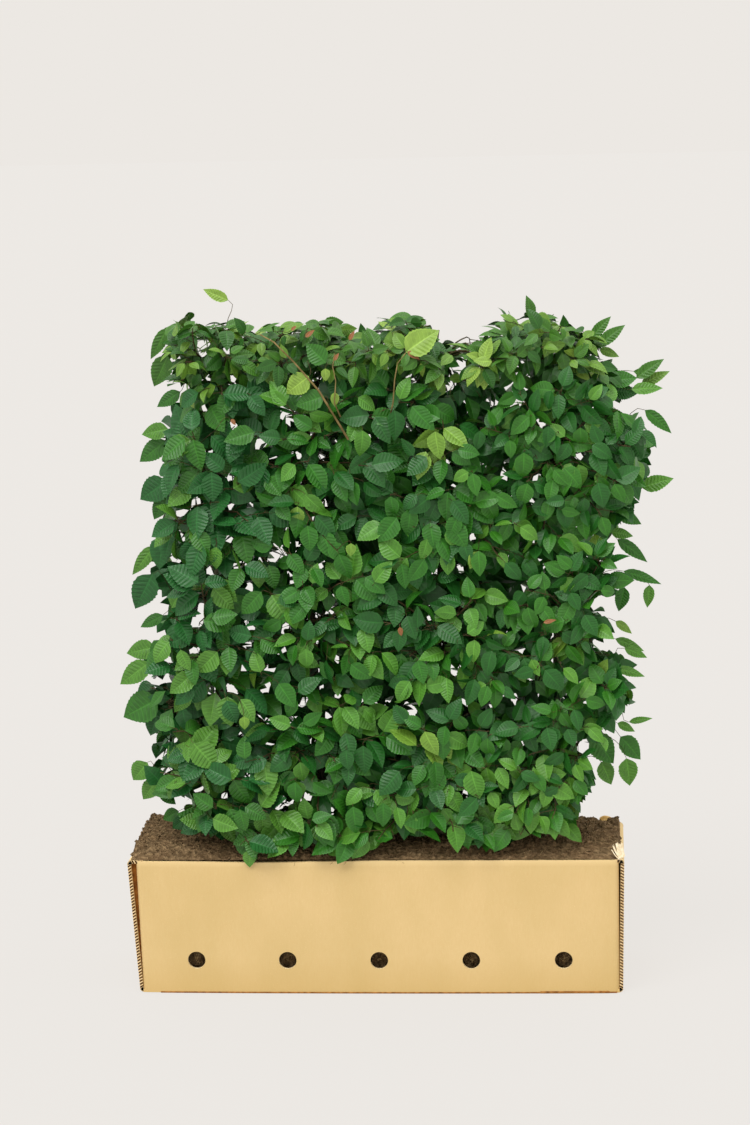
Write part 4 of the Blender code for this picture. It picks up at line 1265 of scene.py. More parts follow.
class Sight:
    """Tests leaves against the crown's outline and sky gaps, as the camera sees them."""

    def __init__(self, rng, stems):
        edges = (LEAF_LEFT, LEAF_RIGHT, LEAF_TOP, LEAF_FOOT)
        self.left, self.right, self.top, self.foot = (np.array(edge) for edge in edges)
        self.circles = open_circles(rng)
        self.eye = np.array(CAMERA_PLACE)
        across = np.arange(COVER_CORNER[0], COVER_END[0], COVER_STEP)
        up = np.arange(COVER_CORNER[1], COVER_END[1], COVER_STEP)
        self.places = np.stack(np.meshgrid(across, up, indexing="ij"), -1)
        self.covered = np.zeros((2, *self.places.shape[:2]), bool)
        level = np.stack([self.places[..., 0], 0 * self.places[..., 0], self.places[..., 1]], -1)
        depth, height = self.depth(level)
        drawn_back = np.array([[self.notch(place) for place in row] for row in level])
        self.wanted = (depth > FILL_WITHIN + drawn_back) & (height > FILL_WITHIN)
        for x, z, radius in self.circles:
            gap = np.hypot(self.places[..., 0] - x, self.places[..., 1] - z)
            self.wanted &= gap > radius + FILL_CLEAR
        slice_places = [[Vector((x, HOLLOW_SLICE, z)) for x, _, z in row] for row in level]
        hollow = [[noise.noise(place * HOLLOW_WAVES) for place in row] for row in slice_places]
        in_front = np.array(hollow) < HOLLOW_FROM
        for stem in stems:
            for height in np.arange(*STEM_HIDDEN_FROM_TO, STEM_HIDDEN):
                gap = self.places - self.flat(np.array(stem.at(height)))
                in_front |= np.hypot(gap[..., 0], gap[..., 1]) < STEM_HIDDEN
        self.wanted_in_front = self.wanted & in_front

    def flat(self, points):
        """Where the line of sight to a point meets the crown's middle plane."""
        ray = points - self.eye
        return (self.eye + ray * (-self.eye[1] / ray[..., 1:2]))[..., [0, 2]]

    def depth(self, points):
        """How far points lie within the outline that the leaf tips reach, and above its foot."""
        flat = self.flat(points)
        x, z = flat[..., 0], flat[..., 1]
        gaps = (
            x - np.interp(z, *self.left.T),
            np.interp(z, *self.right.T) - x,
            np.interp(x, *self.top.T) - z,
        )
        return np.min(gaps, axis=0), z - np.interp(x, *self.foot.T)

    def notch(self, point):
        """How far the ragged outline draws back here."""
        x, z = self.flat(np.array(point))
        value = noise.noise(Vector((x * NOTCH_WAVES, NOTCH_SLICE, z * NOTCH_WAVES)))
        depth = NOTCH_DEPTH if z < TOP_NOTCHES_FROM else TOP_NOTCH_DEPTH
        return depth * clamp(value * NOTCH_GAIN)

    def blade_levels(self, root, tip, edge, places):
        """Places in a seen blade's measure, along and across, and its seen length and width."""
        foot, head, rim = self.flat(np.array((root, tip, edge)))
        along = head - foot
        across = rim - foot - along * WAIST
        turn = along[0] * across[1] - along[1] * across[0]
        long, wide = np.hypot(*along), np.hypot(*across)
        if abs(turn) < STEEPEST_SEEN * long * wide or wide < SMALLEST_SEEN:
            return None
        offset = places - foot
        u = (offset[..., 0] * across[1] - offset[..., 1] * across[0]) / turn
        v = (offset[..., 1] * along[0] - offset[..., 0] * along[1]) / turn
        return u, v, long, wide

    def cover(self, root, tip, edge):
        """Marks what a blade hides from the camera, for all blades and for the front ones."""
        ends = self.flat(np.array((root, tip, edge)))
        reach = np.abs(ends[2] - ends[0]).max() + COVER_MARGIN
        low = ((ends.min(0) - reach - COVER_CORNER) / COVER_STEP).astype(int).clip(0)
        high = ((ends.max(0) + reach - COVER_CORNER) / COVER_STEP).astype(int).clip(0)
        window = (slice(low[0], high[0] + 1), slice(low[1], high[1] + 1))
        found = self.blade_levels(root, tip, edge, self.places[window])
        if found:
            u, v, *_ = found
            inside = (u > 0) & (u < 1) & (abs(v) < seen_outline(u) * COVER_SHARE)
            self.covered[0][window] |= inside
            if tip[1] < FRONT_BLADES:
                self.covered[1][window] |= inside

    def open_places(self, front):
        """Places that ought to be hidden and that no blade, or no front blade, hides yet."""
        wanted = self.wanted_in_front if front else self.wanted
        return self.places[wanted & ~self.covered[front]]

    def leaf_blocks(self, root, tip, edge):
        """True where a blade from root to tip would cover a sky gap."""
        found = self.blade_levels(root, tip, edge, self.circles[:, :2])
        if not found:
            return self.path_blocks(np.array((root, tip)))
        u, v, long, wide = found
        radius = self.circles[:, 2]
        reach = seen_outline(u) + radius / wide
        beyond = radius / long
        return bool(((u > -beyond) & (u < 1 + beyond) & (abs(v) < reach)).any())

    def path_blocks(self, path):
        """True where a twig along the path would cross a sky gap."""
        flat = self.flat(np.array(path))
        start, run = flat[:-1, None], (flat[1:] - flat[:-1])[:, None]
        offset = self.circles[None, :, :2] - start
        share = np.clip((offset * run).sum(-1) / ((run * run).sum(-1) + 1e-12), 0, 1)
        gap = np.linalg.norm(offset - run * share[..., None], axis=-1)
        return bool((gap < self.circles[None, :, 2]).any())


class Blades:
    """The blades placed so far, to keep new ones from cutting through them."""

    def __init__(self):
        self.cells = {}
        self.rows = []

    def place(self, middle, along, across):
        """Adds a blade by its middle and its half length and half width as vectors."""
        key = tuple(math.floor(value / CELL) for value in middle)
        self.cells.setdefault(key, []).append(len(self.rows))
        self.rows.append(self.row(middle, along, across))

    def row(self, middle, along, across):
        return np.array((middle, along, across, Vector(along).cross(across).normalized()))

    def near(self, middle):
        """The blades in the cell of a place and in the cells round it."""
        around = [range(math.floor(value / CELL) - 1, math.floor(value / CELL) + 2) for value in middle]
        return [blade for key in product(*around) for blade in self.cells.get(key, ())]

    def meets(self, middle, along, across):
        """True where a blade would cut through one in place, or lie right on it."""
        found = self.near(middle)
        if not found:
            return False
        others = np.array([self.rows[index] for index in found])
        new = self.row(middle, along, across)[None]
        offset = new[:, 0] - others[:, 0]
        u = (offset * others[:, 1]).sum(-1) / (others[:, 1] ** 2).sum(-1)
        v = (offset * others[:, 2]).sum(-1) / (others[:, 2] ** 2).sum(-1)
        layer = abs((offset * others[:, 3]).sum(-1))
        if ((u * u + v * v < 1) & (layer < LAYER_GAP)).any():
            return True
        return self.cuts(new, others) or self.cuts(others, new)

    def cuts(self, first, second):
        """True where an edge or rib of the first blades passes through the second."""
        middle, along, across = first[:, 0], first[:, 1], first[:, 2]
        corners = np.stack([middle - along, middle + across, middle + along, middle - across], 1)
        start = corners[:, [0, 1, 2, 3, 0, 1]]
        end = corners[:, [1, 2, 3, 0, 2, 3]]
        place, normal = second[:, None, 0], second[:, None, 3]
        before = ((start - place) * normal).sum(-1)
        after = ((end - place) * normal).sum(-1)
        crossing = before * after < 0
        if not crossing.any():
            return False
        share = before / np.where(crossing, before - after, 1)
        offset = start + (end - start) * share[..., None] - place
        long, wide = second[:, None, 1], second[:, None, 2]
        u = (offset * long).sum(-1) / (long * long).sum(-1)
        v = (offset * wide).sum(-1) / (wide * wide).sum(-1)
        return bool((crossing & (u * u + v * v < CUT_LIMIT)).any())


class Crown:
    """Grows every mass's twigs and leaves."""

    def __init__(self, rng, stems):
        self.rng = rng
        self.sight = Sight(rng, stems)
        self.blades = Blades()
        self.branchlets = Limbs(BRANCHLET_POINTS, BRANCHLET_SIDES)
        self.twigs = Limbs(TWIG_POINTS, TWIG_SIDES)
        self.petioles = Limbs(PETIOLE_POINTS, PETIOLE_SIDES)
        self.shoots = Limbs(SHOOT_POINTS, SHOOT_SIDES)
        self.aged = Leaves()
        self.leaves = {(zone, tone): Leaves() for zone in LEAF_COLOURS for tone in TONES}
        self.tips = []
        self.nodes = []

    def pick_tone(self, zone):
        return self.rng.choices(TONES, TONE_SHARES[zone])[0]

    def scatter(self, spread):
        """A random offset, the same in all directions."""
        return Vector([self.rng.gauss(0, spread) for _ in range(3)])

    def leaf_sizes(self, zone):
        """Random length and half width per length."""
        return self.rng.uniform(*LEAF_LENGTHS[zone]), self.rng.uniform(*LEAF_HALF_WIDTHS[zone])

    def wished_facing(self, out, spread):
        return out * OUT_FACING + Vector((0, 0, UP_FACING)) + self.scatter(spread)

    def leaf(self, start, twig_along, side, spray_tone):
        """One leaf on its petiole, facing out of the crown and up, its tip hanging out."""
        rng = self.rng
        zone = zone_of(start.x, start.z)
        out = self.outward(start)
        length, half_width = self.leaf_sizes(zone)
        petiole = rng.uniform(*PETIOLE_LENGTHS)
        self.nodes.append(tuple(start))
        end_pull = self.end_pull(start)
        upright = clamp((start.z - UPRIGHT_FROM) / UPRIGHT_RUN)
        hang = -HANG * (1 - UPRIGHT_LESS_HANG * upright) * (1 - END_LESS_HANG * abs(end_pull))
        sideways, onward, outwards = PETIOLE_WAY
        way = (side * sideways + twig_along * onward + out * outwards).normalized()
        bend = start + way * petiole * PETIOLE_BEND
        spread = FACING_JITTER[zone] if rng.random() > STRONG_JITTER_SHARE else STRONG_JITTER
        for attempt in range(LEAF_TRIES):
            facing = self.wished_facing(out, spread).normalized()
            wish = twig_along * TWIG_WISH + side * SIDE_WISH + Vector((end_pull * END_PULL, 0, hang))
            wish += out * OUT_WISH + self.scatter(WISH_JITTER + WISH_JITTER_GAIN * attempt)
            along = square_to(facing, wish)
            if along.length < SMALLEST_WISH:
                along = facing.orthogonal()
            along.normalize()
            root = bend + along * petiole * PETIOLE_REST
            if self.leaf_fits(root, along, facing, length, half_width):
                self.set_leaf(start, bend, root, along, facing, length, half_width, spray_tone)
                return

    def mark_blade(self, root, tip, run, half_across):
        """Notes where a new blade lies and what it hides."""
        self.blades.place(root + run * BLADE_MIDDLE, run * 0.5, half_across)
        self.sight.cover(root, tip, root + run * WAIST + half_across)

    def set_leaf(self, start, bend, root, along, facing, length, half_width, spray_tone):
        """Adds a leaf that fits, with its own shape and tone, and on a fine one its petiole."""
        rng = self.rng
        zone = zone_of(start.x, start.z)
        across = along.cross(facing)
        self.mark_blade(root, root + along * length, along * length, across * length * half_width)
        fine = crown_depth(*start) < FINE_DEPTH
        fold, curl, cup, twist, pleat, sway = (rng.uniform(*limits) for limits in SHAPE_RANGES)
        shape = (fold, curl, cup, twist, LEAF_PLEATS[zone] * pleat, sway)
        tone = spray_tone if rng.random() < SAME_TONE_SHARE else self.pick_tone(zone)
        # Painted shade: inner leaves often take the deepest tone.
        if not fine and rng.random() < INSIDE_PAINTED_SHADE_SHARE:
            tone = "deep"
        # Painted light: low outer leaves often swap the deepest tone for the bright one.
        if start.z < LOW_ZONE and fine and tone == "deep" and rng.random() < LOW_PAINTED_LIGHT_SHARE:
            tone = "bright"
        self.leaves[zone, tone].add(fine, root, across, along, facing, length, half_width, shape)
        if fine:
            self.petioles.add([start, bend, root], *PETIOLE_RADII)

    def mark_leaves(self):
        """Sets the leaves that stand out before the others grow round them."""
        for zone, tone, root, tip, half_width in MARKED_LEAVES + edge_leaves():
            root, tip = Vector(root), Vector(tip)
            along = tip - root
            length = along.length
            along.normalize()
            facing = square_to(along, Vector(MARKED_FACING)).normalized()
            across = along.cross(facing)
            self.mark_blade(root, tip, along * length, across * length * half_width)
            leaves = self.aged if tone == "aged" else self.leaves[zone, tone]
            leaves.add(True, root, across, along, facing, length, half_width, MARKED_SHAPE)

    def hang_marked(self):
        """Joins the leaves that stand out to the nearest twigs."""
        nodes = np.array(self.nodes)
        for _, _, root, tip, _ in MARKED_LEAVES + edge_leaves():
            gaps = np.linalg.norm(nodes - np.array(root), axis=1)
            node, root, tip = Vector(nodes[gaps.argmin()]), Vector(root), Vector(tip)
            early, late = MARKED_STALK_BENDS
            back = (root - tip).normalized() * (root - node).length * late
            rise = node.lerp(root, early) + Vector((0, 0, MARKED_STALK_RISE))
            self.twigs.add(bezier(node, rise, root + back, root, TWIG_POINTS), *MARKED_STALK_RADII)
        for shoot in SHOOTS:
            self.shoots.add(*shoot)

    def end_pull(self, point):
        """Leaves near either end point outwards: their pull along X."""
        flat = self.sight.flat(np.array(point))
        left = flat[0] - np.interp(flat[1], *self.sight.left.T)
        right = np.interp(flat[1], *self.sight.right.T) - flat[0]
        return math.exp(-max(right, 0) / END_PULL_FADE) - math.exp(-max(left, 0) / END_PULL_FADE)

    def close_cover(self, front, rounds):
        """Adds leaves to the twigs where the crown, or its front, is open and oughtn't to be."""
        rng = self.rng
        nodes = np.array([node for node in self.nodes if not front or node[1] < FRONT_NODES])
        seen = self.sight.flat(nodes)
        for _ in range(rounds):
            places = self.sight.open_places(front)
            for index in rng.sample(range(len(places)), min(FILL_TRIALS, len(places))):
                place = places[index]
                row, column = ((place - COVER_CORNER) / COVER_STEP + 0.5).astype(int)
                if self.sight.covered[front, row, column]:
                    continue
                gap = np.linalg.norm(seen - place, axis=1)
                near = np.nonzero((gap > FILL_NEAR) & (gap < FILL_FAR))[0].tolist()
                for number in rng.sample(near, min(FILL_NODES, len(near))):
                    if self.fill_leaf(Vector(nodes[number]), place):
                        break

    def fill_leaf(self, start, place):
        """One leaf from a twig over an open place, where it fits."""
        rng = self.rng
        eye = Vector(CAMERA_PLACE)
        ray = Vector((place[0], 0, place[1])) - eye
        target = eye + ray * ((start.y + rng.uniform(-FILL_DEPTH, FILL_DEPTH) - eye.y) / ray.y)
        along = target - start
        if not FILL_NEAR < along.length < FILL_FAR:
            return False
        along.normalize()
        zone = zone_of(start.x, start.z)
        facing = square_to(along, self.wished_facing(self.outward(start), FACING_JITTER[zone]))
        facing.normalize()
        petiole = rng.uniform(*PETIOLE_LENGTHS)
        length, half_width = self.leaf_sizes(zone)
        root = start + along * petiole
        if not self.leaf_fits(root, along, facing, length, half_width):
            return False
        bend = start + along * petiole * PETIOLE_BEND + facing * FILL_PETIOLE_RISE
        self.set_leaf(start, bend, root, along, facing, length, half_width, self.pick_tone(zone))
        return True

    def leaf_fits(self, root, along, facing, length, half_width):
        """The blade keeps to the crown, its outline and its gaps, and clear of other blades."""
        run = along * length
        tip = root + run
        across = along.cross(facing) * length * half_width
        waist = root + run * WAIST
        corners = (root, tip, waist + across, waist - across)
        for corner in corners:
            if abs(corner.y) > crown_half_depth(corner.x, corner.z) + LEAF_OVERHANG:
                return False
        lowest = min(corner.z for corner in corners)
        if lowest < (HANGING_LOWEST if tip.y < HANGING_FRONT else SOIL_CLEAR):
            return False
        depth, height = self.sight.depth(np.array(corners))
        if depth.min() < -BLADE_BEYOND or height.min() < -BLADE_BEYOND:
            return False
        if depth[0] < ROOT_WITHIN + self.sight.notch(root):
            return False
        if self.sight.leaf_blocks(root, tip, waist + across):
            return False
        return not self.blades.meets(root + run * BLADE_MIDDLE, run * 0.5, across)

    def outward(self, point):
        """Direction in which the crown's outline is nearest, softened between its sides."""
        x, y, z = point
        half = crown_half_depth(x, z)
        parts = (
            (Vector((-END_FACING, 0, 0)), x - profile_value(LEFT_EDGE, z)),
            (Vector((END_FACING, 0, 0)), profile_value(RIGHT_EDGE, z) - x),
            (Vector((0, -1, 0)), half + y),
            (Vector((0, 1, 0)), half - y),
            (Vector((0, 0, 1)), profile_value(TOP_EDGE, x) - z),
        )
        total = Vector((0, 0, 0))
        for direction, gap in parts:
            total += direction * math.exp(-max(gap, 0) / OUTWARD_FADE)
        total.y += math.copysign(FRONT_BACK_PULL, y)
        return total.normalized()

    def along_path(self, path, foot, tip, spacing, tone, plane):
        """Alternate leaves along a twig between two shares of its length."""
        length = np.linalg.norm(np.diff(path, axis=0), axis=1).sum()
        count = max(1, round(length * (tip - foot) / spacing))
        hand = self.rng.choice((-1, 1))
        for number in range(count + 1):
            share = foot + (tip - foot) * number / count
            node, along = path_node(path, share)
            side = along.cross(plane).normalized() * hand
            hand = -hand
            if number == count:
                side = along
            self.leaf(node, along, side, tone)

    def branchlet_path(self, start, heading, tip, outward):
        """A free way for a branchlet, or None."""
        reach = (tip - start).length
        onward, outwards, up = END_WAY
        end = (tip - start).normalized() * onward + outward * outwards + Vector((0, 0, up))
        end.normalize()
        arch = Vector((0, 0, BRANCHLET_ARCH * reach))
        for attempt in range(BRANCHLET_TRIES):
            bow = self.scatter(BRANCHLET_BOW * attempt * reach)
            first = start + heading * reach * BRANCHLET_BENDS[0] + arch + bow
            second = tip - end * reach * BRANCHLET_BENDS[1] + arch + bow
            path = bezier(start, first, second, tip, BRANCHLET_POINTS)
            wobble = np.array([[self.rng.gauss(0, BRANCHLET_WOBBLE) for _ in range(3)] for _ in path])
            wobble[0] = 0
            path += wobble
            inside = all(crown_depth(*point) > BRANCHLET_WITHIN for point in path[2:])
            if inside and not self.sight.path_blocks(path):
                return path
        return None

    def branchlet(self, start, heading, tip, outward):
        """One branchlet with its twigs and leaves; False where it finds no free way."""
        rng = self.rng
        way = (tip - start).normalized()
        while not self.room(tip, way) and (tip - start).length > SHORTEST_BRANCHLET:
            tip = tip - way * DRAW_BACK
        path = self.branchlet_path(start, heading, tip, outward) if self.room(tip, way) else None
        if path is None:
            return False
        foot_radius = BRANCHLET_FOOT_RADIUS + BRANCHLET_RADIUS_GAIN * (tip - start).length
        self.branchlets.add(path, foot_radius, BRANCHLET_TIP_RADIUS)
        plane = Vector((0, 0, 1)) + outward * PLANE_OUTWARD + self.scatter(PLANE_JITTER)
        tone = self.pick_tone(zone_of(tip.x, tip.z))
        hand = rng.choice((-1, 1))
        for place in TWIG_PLACES:
            share = place + rng.uniform(-TWIG_PLACE_JITTER, TWIG_PLACE_JITTER)
            node, along = path_node(path, share)
            side = along.cross(plane).normalized() * hand
            hand = -hand
            length = rng.uniform(*TWIG_LENGTHS) * (TWIG_FOOT_LENGTH - TWIG_LENGTH_FALL * share)
            onward, sideways, outwards = TWIG_WAY
            way = (along * onward + side * sideways + outward * outwards).normalized()
            self.twig(node, way, length, tone, plane)
        self.along_path(path, *BRANCHLET_LEAVES, tone, plane)
        return True

    def twig(self, node, way, length, tone, plane):
        """One twig with its leaves, shortened to fit and left out where it can't."""
        tip = node + way * length
        while not self.room(tip, way) and length > SHORTEST_TWIG:
            length *= TWIG_SHORTENING
            tip = node + way * length
        early, late = TWIG_BENDS
        end = tip - (way + Vector((0, 0, -TWIG_DROOP))) * length * late
        twig = bezier(node, node + way * length * early, end, tip, TWIG_POINTS)
        if self.sight.path_blocks(twig) or not self.room(tip, way):
            return
        self.twigs.add(twig, *TWIG_RADII)
        if self.rng.random() >= TWIG_TONE_SHARE:
            tone = self.pick_tone(zone_of(node.x, node.z))
        self.along_path(twig, *TWIG_LEAVES, tone, plane)

    def room(self, tip, heading):
        """True where a twig may end here with the heading."""
        ahead = tip + heading * TWIG_CLEAR
        depth, height = self.sight.depth(np.array(ahead))
        within = TWIG_WITHIN + self.sight.notch(tip)
        return depth > within and height > 0 and crown_depth(*tip) > TIP_WITHIN

    def far_enough(self, tip, spacing):
        """True where no other tip lies closer than the spacing; then it counts as a tip."""
        if self.tips:
            nearest = np.linalg.norm(np.array(self.tips) - np.array(tip), axis=1).min()
            if nearest < spacing:
                return False
        self.tips.append(tuple(tip))
        return True

    def mass(self, space):
        """Branchlets from the mass's stalk to tips spread evenly over its space."""
        rng = self.rng
        stem = space.stem
        if space.drop is not None:
            root = bough_tip(space)
        elif space.side:
            root = stem.at(space.middle.z - STALK_DROP)
        else:
            root = stem.path[-1]
        heading = (space.middle - root).normalized()
        middle = space.middle
        while not self.room(middle, heading) and (middle - root).length > SHORTEST_BRANCHLET:
            middle = middle.lerp(root, STALK_STEP)
        turn = rng.uniform(0, 2 * math.pi)
        spacing = TIP_SPACING[-1 if space.middle.x < -ZONE_EDGE else 1]
        tips = []
        for direction in spread_directions(TIP_TRIALS, space.outward * MASS_PULL, turn):
            reach = space.crown_reach(direction) - TIP_DEPTH
            if reach < space.wall_reach(direction) + OVER_WALL:
                tips.append((space.middle + direction * max(reach, SHORTEST_REACH), spacing))
        for _ in range(INNER_TRIALS):
            offset = Vector([rng.uniform(-INNER_BOX, INNER_BOX) for _ in range(3)])
            reach = min(space.wall_reach(offset.normalized()), FARTHEST) + INNER_OVER_WALL
            tip = space.middle + offset
            if offset.length < reach and crown_depth(*tip) > INNER_DEPTH:
                thinner = END_THINNER if abs(tip.x) > END_THINNER_FROM else 1
                tips.append((tip, INNER_SPACING * thinner))
        for tip, spacing in tips:
            if not self.far_enough(tip, spacing):
                continue
            for _ in range(START_TRIES):
                start = root.lerp(middle, rng.uniform(*START_STRETCH))
                way = heading * START_WAY[0] + (tip - middle).normalized() * START_WAY[1]
                way.normalize()
                if self.branchlet(start, way, tip, self.outward(tip)):
                    break
        bends = [root.lerp(middle, share) for share in STALK_BENDS]
        stalk = bezier(root, *bends, middle, BRANCHLET_POINTS)
        self.branchlets.add(stalk, BOUGH_TIP_RADIUS, STALK_TIP_RADIUS)

    def build(self, spaces):
        """Makes the pieces of leaves by zone and tone, and those of the twigs and shoots."""
        forms = {
            True: leaf_form(2 * VEIN_PAIRS, LEAF_COLUMNS, 1.0),
            False: leaf_form(PLAIN_LEAF_ROWS, 1, 0.0),
        }
        nodes_of = {zone: [] for zone in LEAF_COLOURS}
        for space in spaces:
            nodes_of[zone_of(space.middle.x, space.middle.z)].append(space.name)
        for zone, colours in LEAF_COLOURS.items():
            for tone, colour in zip(TONES, colours):
                material = leaf_material(f"leaf_{zone}_{tone}", colour, zone == "left")
                piece = self.leaves[zone, tone].build(f"leaves_{zone}_{tone}", material, forms)
                plant_piece(piece, f"leaf_{zone}", *nodes_of[zone])
        aged = leaf_material("leaf_aged", AGED_COLOUR, False)
        plant_piece(self.aged.build("leaves_aged", aged, forms), "leaf_top", *nodes_of["top"])
        # The twigs' paper: young bark darkened partly as painted shade.
        bark = paper_material("young_bark_painted_shade")
        twigs = limb_piece("twigs", bark, True, self.branchlets, self.twigs, self.petioles)
        plant_piece(twigs, "hornbeam_bark")
        shoots = limb_piece("shoots", paper_material("shoot_bark"), True, self.shoots)
        plant_piece(shoots, "hornbeam_bark")


def plant_piece(piece, slot, *nodes):
    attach(piece, "root")
    if nodes:
        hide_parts(*nodes)


# Trough of corrugated board

def rounded_path(corners, radius, steps):
    """An open flat path whose inner corners are replaced by arcs."""
    path = [Vector(corners[0])]
    for before, corner, after in zip(corners, corners[1:], corners[2:]):
        corner = Vector(corner)
        towards_before = (Vector(before) - corner).normalized()
        towards_after = (Vector(after) - corner).normalized()
        half = towards_before.angle(towards_after) / 2
        cut = radius / math.tan(half)
        centre = corner + (towards_before + towards_after).normalized() * radius / math.sin(half)
        start = corner + towards_before * cut - centre
        end = corner + towards_after * cut - centre
        turn = start.angle(end)
        for step in range(steps + 1):
            share = step / steps
            blend = start * math.sin((1 - share) * turn) + end * math.sin(share * turn)
            path.append(centre + blend / math.sin(turn))
    path.append(Vector(corners[-1]))
    return path


def even_steps(path, step):
    """The same path with its long stretches cut into steps."""
    cut = [path[0]]
    for before, after in zip(path, path[1:]):
        count = max(1, round((after - before).length / step))
        cut += [before.lerp(after, number / count) for number in range(1, count + 1)]
    return cut


def beside(path, distance):
    """The path moved sideways."""
    moved = []
    for index, point in enumerate(path):
        before = path[max(index - 1, 0)]
        after = path[min(index + 1, len(path) - 1)]
        incoming = (point - before).normalized() if index else (after - point).normalized()
        outgoing = (after - point).normalized() if index < len(path) - 1 else incoming
        along = (incoming + outgoing).normalized()
        side = Vector((-along.y, along.x)) / max(along.dot(incoming), 0.5)
        moved.append(point + side * distance)
    return moved


def strip(parts, path, thickness, levels, place):
    """A closed strip of board round a flat path, carried through several levels by place."""
    count = len(path)
    ring = beside(path, thickness / 2) + beside(path, -thickness / 2)[::-1]
    points = np.array([place(point, level) for level in levels for point in ring])
    around = np.arange(2 * count)
    after = (around + 1) % (2 * count)
    starts = (np.arange(len(levels) - 1) * 2 * count)[:, None]
    above = starts + 2 * count
    quads = np.stack([starts + around, starts + after, above + after, above + around], -1)
    step = np.arange(count - 1)
    cap = np.stack([step, 2 * count - 1 - step, 2 * count - 2 - step, step + 1], -1)
    top = cap[:, ::-1] + (len(levels) - 1) * 2 * count
    parts.add(points, np.concatenate([quads.reshape(-1, 4), cap, top]))


def hole_x(index):
    """Where a drain hole lies along the trough."""
    return (index - (HOLE_COUNT - 1) / 2) * HOLE_SPACING


def flat_place(point, level):
    """Stands a flat path up without a change."""
    return (point.x, point.y, level)


def grid_faces(rows, columns):
    """Faces between the rows and columns of a sheet of points."""
    ids = np.arange(rows * columns).reshape(rows, columns)
    return np.stack([ids[:-1, :-1], ids[:-1, 1:], ids[1:, 1:], ids[1:, :-1]], -1).reshape(-1, 4)


def build_walls(board):
    """Base, front and back with their folded corners, and the drain holes."""
    half_length, half_depth, inset = TROUGH_LENGTH / 2, TROUGH_DEPTH / 2, BOARD / 2
    parts = Parts()
    base = [Vector((-half_length + LAP, 0)), Vector((half_length - LAP, 0))]
    strip(parts, base, TROUGH_DEPTH - 2 * LAP, (BASE_FOOT, BOARD), flat_place)
    for side in (-1, 1):
        wall_y = side * (half_depth - inset)
        flap_y = side * (half_depth - FLAP_LENGTH)
        corners = [
            (-half_length + inset, flap_y),
            (-half_length + inset, wall_y),
            (half_length - inset, wall_y),
            (half_length - inset, flap_y),
        ]
        path = even_steps(rounded_path(corners, CORNER_RADIUS - inset, CORNER_STEPS), WALL_STEP)

        def place(point, level, side=side):
            z = LAP + (TROUGH_HEIGHT - LAP) * level
            along = max(math.cos(math.pi * point.x / TROUGH_LENGTH), 0)
            on_face = abs(point.y) > half_depth - 1.5 * BOARD
            bulge = WALL_BULGE * along ** BULGE_POWER * math.sqrt(1 - level ** 2) * on_face
            lean = WALL_LEAN * level * clamp(0.5 - point.x / TROUGH_LENGTH)
            if level == 1:
                z += RIM_RAGGED * noise.noise(Vector((point.x * RIM_WAVES, side * 5.0, 0)))
                z -= RIM_SAG * math.exp(-((point.x - SAG_PLACE) / SAG_LENGTH) ** 2)
            return (point.x - lean, point.y + side * bulge, z)

        strip(parts, path, BOARD, np.linspace(0, 1, WALL_ROWS), place)
    walls = parts.build("trough_walls", board, False)
    walls.data.materials.append(paper_material("cut_edge"))
    cut_holes(walls)
    for face in walls.data.polygons:
        x, y, z = face.center
        near = round(x / HOLE_SPACING) * HOLE_SPACING
        inside = math.hypot(x - near, z - HOLE_HEIGHT) < HOLE_DIAMETER / 2 + HOLE_EDGE
        cut_through = inside and abs(y) > half_depth - 2 * BOARD and abs(face.normal.y) < 0.5
        face.material_index = int(cut_through)
    trough_piece(walls)


def cut_holes(walls):
    """Cuts the drain holes through the front and the back."""
    cutters = bpy.data.collections.new("holes")
    bpy.context.scene.collection.children.link(cutters)
    for index in range(HOLE_COUNT):
        for side in (-1, 1):
            bpy.ops.mesh.primitive_cylinder_add(
                vertices=HOLE_SIDES, radius=HOLE_DIAMETER / 2, depth=4 * BOARD,
                location=(hole_x(index), side * TROUGH_DEPTH / 2, HOLE_HEIGHT),
                rotation=(math.pi / 2, 0, 0),
            )
            hole = bpy.context.object
            for collection in list(hole.users_collection):
                collection.objects.unlink(hole)
            cutters.objects.link(hole)
    cutting = walls.modifiers.new("holes", "BOOLEAN")
    cutting.operation = "DIFFERENCE"
    cutting.operand_type = "COLLECTION"
    cutting.collection = cutters
    cutting.solver = "EXACT"
    depsgraph = bpy.context.evaluated_depsgraph_get()
    mesh = bpy.data.meshes.new_from_object(walls.evaluated_get(depsgraph))
    walls.modifiers.clear()
    walls.data = mesh
    for hole in list(cutters.objects):
        bpy.data.objects.remove(hole, do_unlink=True)
    bpy.data.collections.remove(cutters)


def trough_piece(piece):
    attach(piece, "root")
    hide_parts("cardboard_trough")


def end_path(side):
    """Middle line of an end board: up outside, over the rim and down inside."""
    half_length, inset = TROUGH_LENGTH / 2, BOARD / 2
    roll_top = TROUGH_HEIGHT + 2 * LAP
    outer = half_length + inset - LAP
    inner = half_length - 3 * inset + LAP
    corners = [
        (half_length - BASE_TONGUE, inset + LAP),
        (outer, inset + LAP),
        (outer + END_LEAN[side], roll_top - inset),
        (inner, roll_top - inset),
        (inner, inset),
    ]
    return rounded_path(corners, ROLL_RADIUS, CORNER_STEPS)


def add_tuck(parts, side, y):
    """Board between a folded corner and the leaning end board."""
    inner, low, high = TROUGH_LENGTH / 2 - TUCK_INSET, TUCK_FOOT, TROUGH_HEIGHT - TUCK_HEAD
    outer = inner + TUCK_THICKNESS
    outline = ((inner, low), (outer, low), (outer + END_LEAN[side], high), (inner, high))
    halves = (-TUCK_BOARD / 2, TUCK_BOARD / 2)
    points = [(side * x, y + across, z) for across in halves for x, z in outline]
    rim = [(corner, (corner + 1) % 4, (corner + 1) % 4 + 4, corner + 4) for corner in range(4)]
    parts.add(np.array(points), np.array([(0, 1, 2, 3), (7, 6, 5, 4)] + rim))


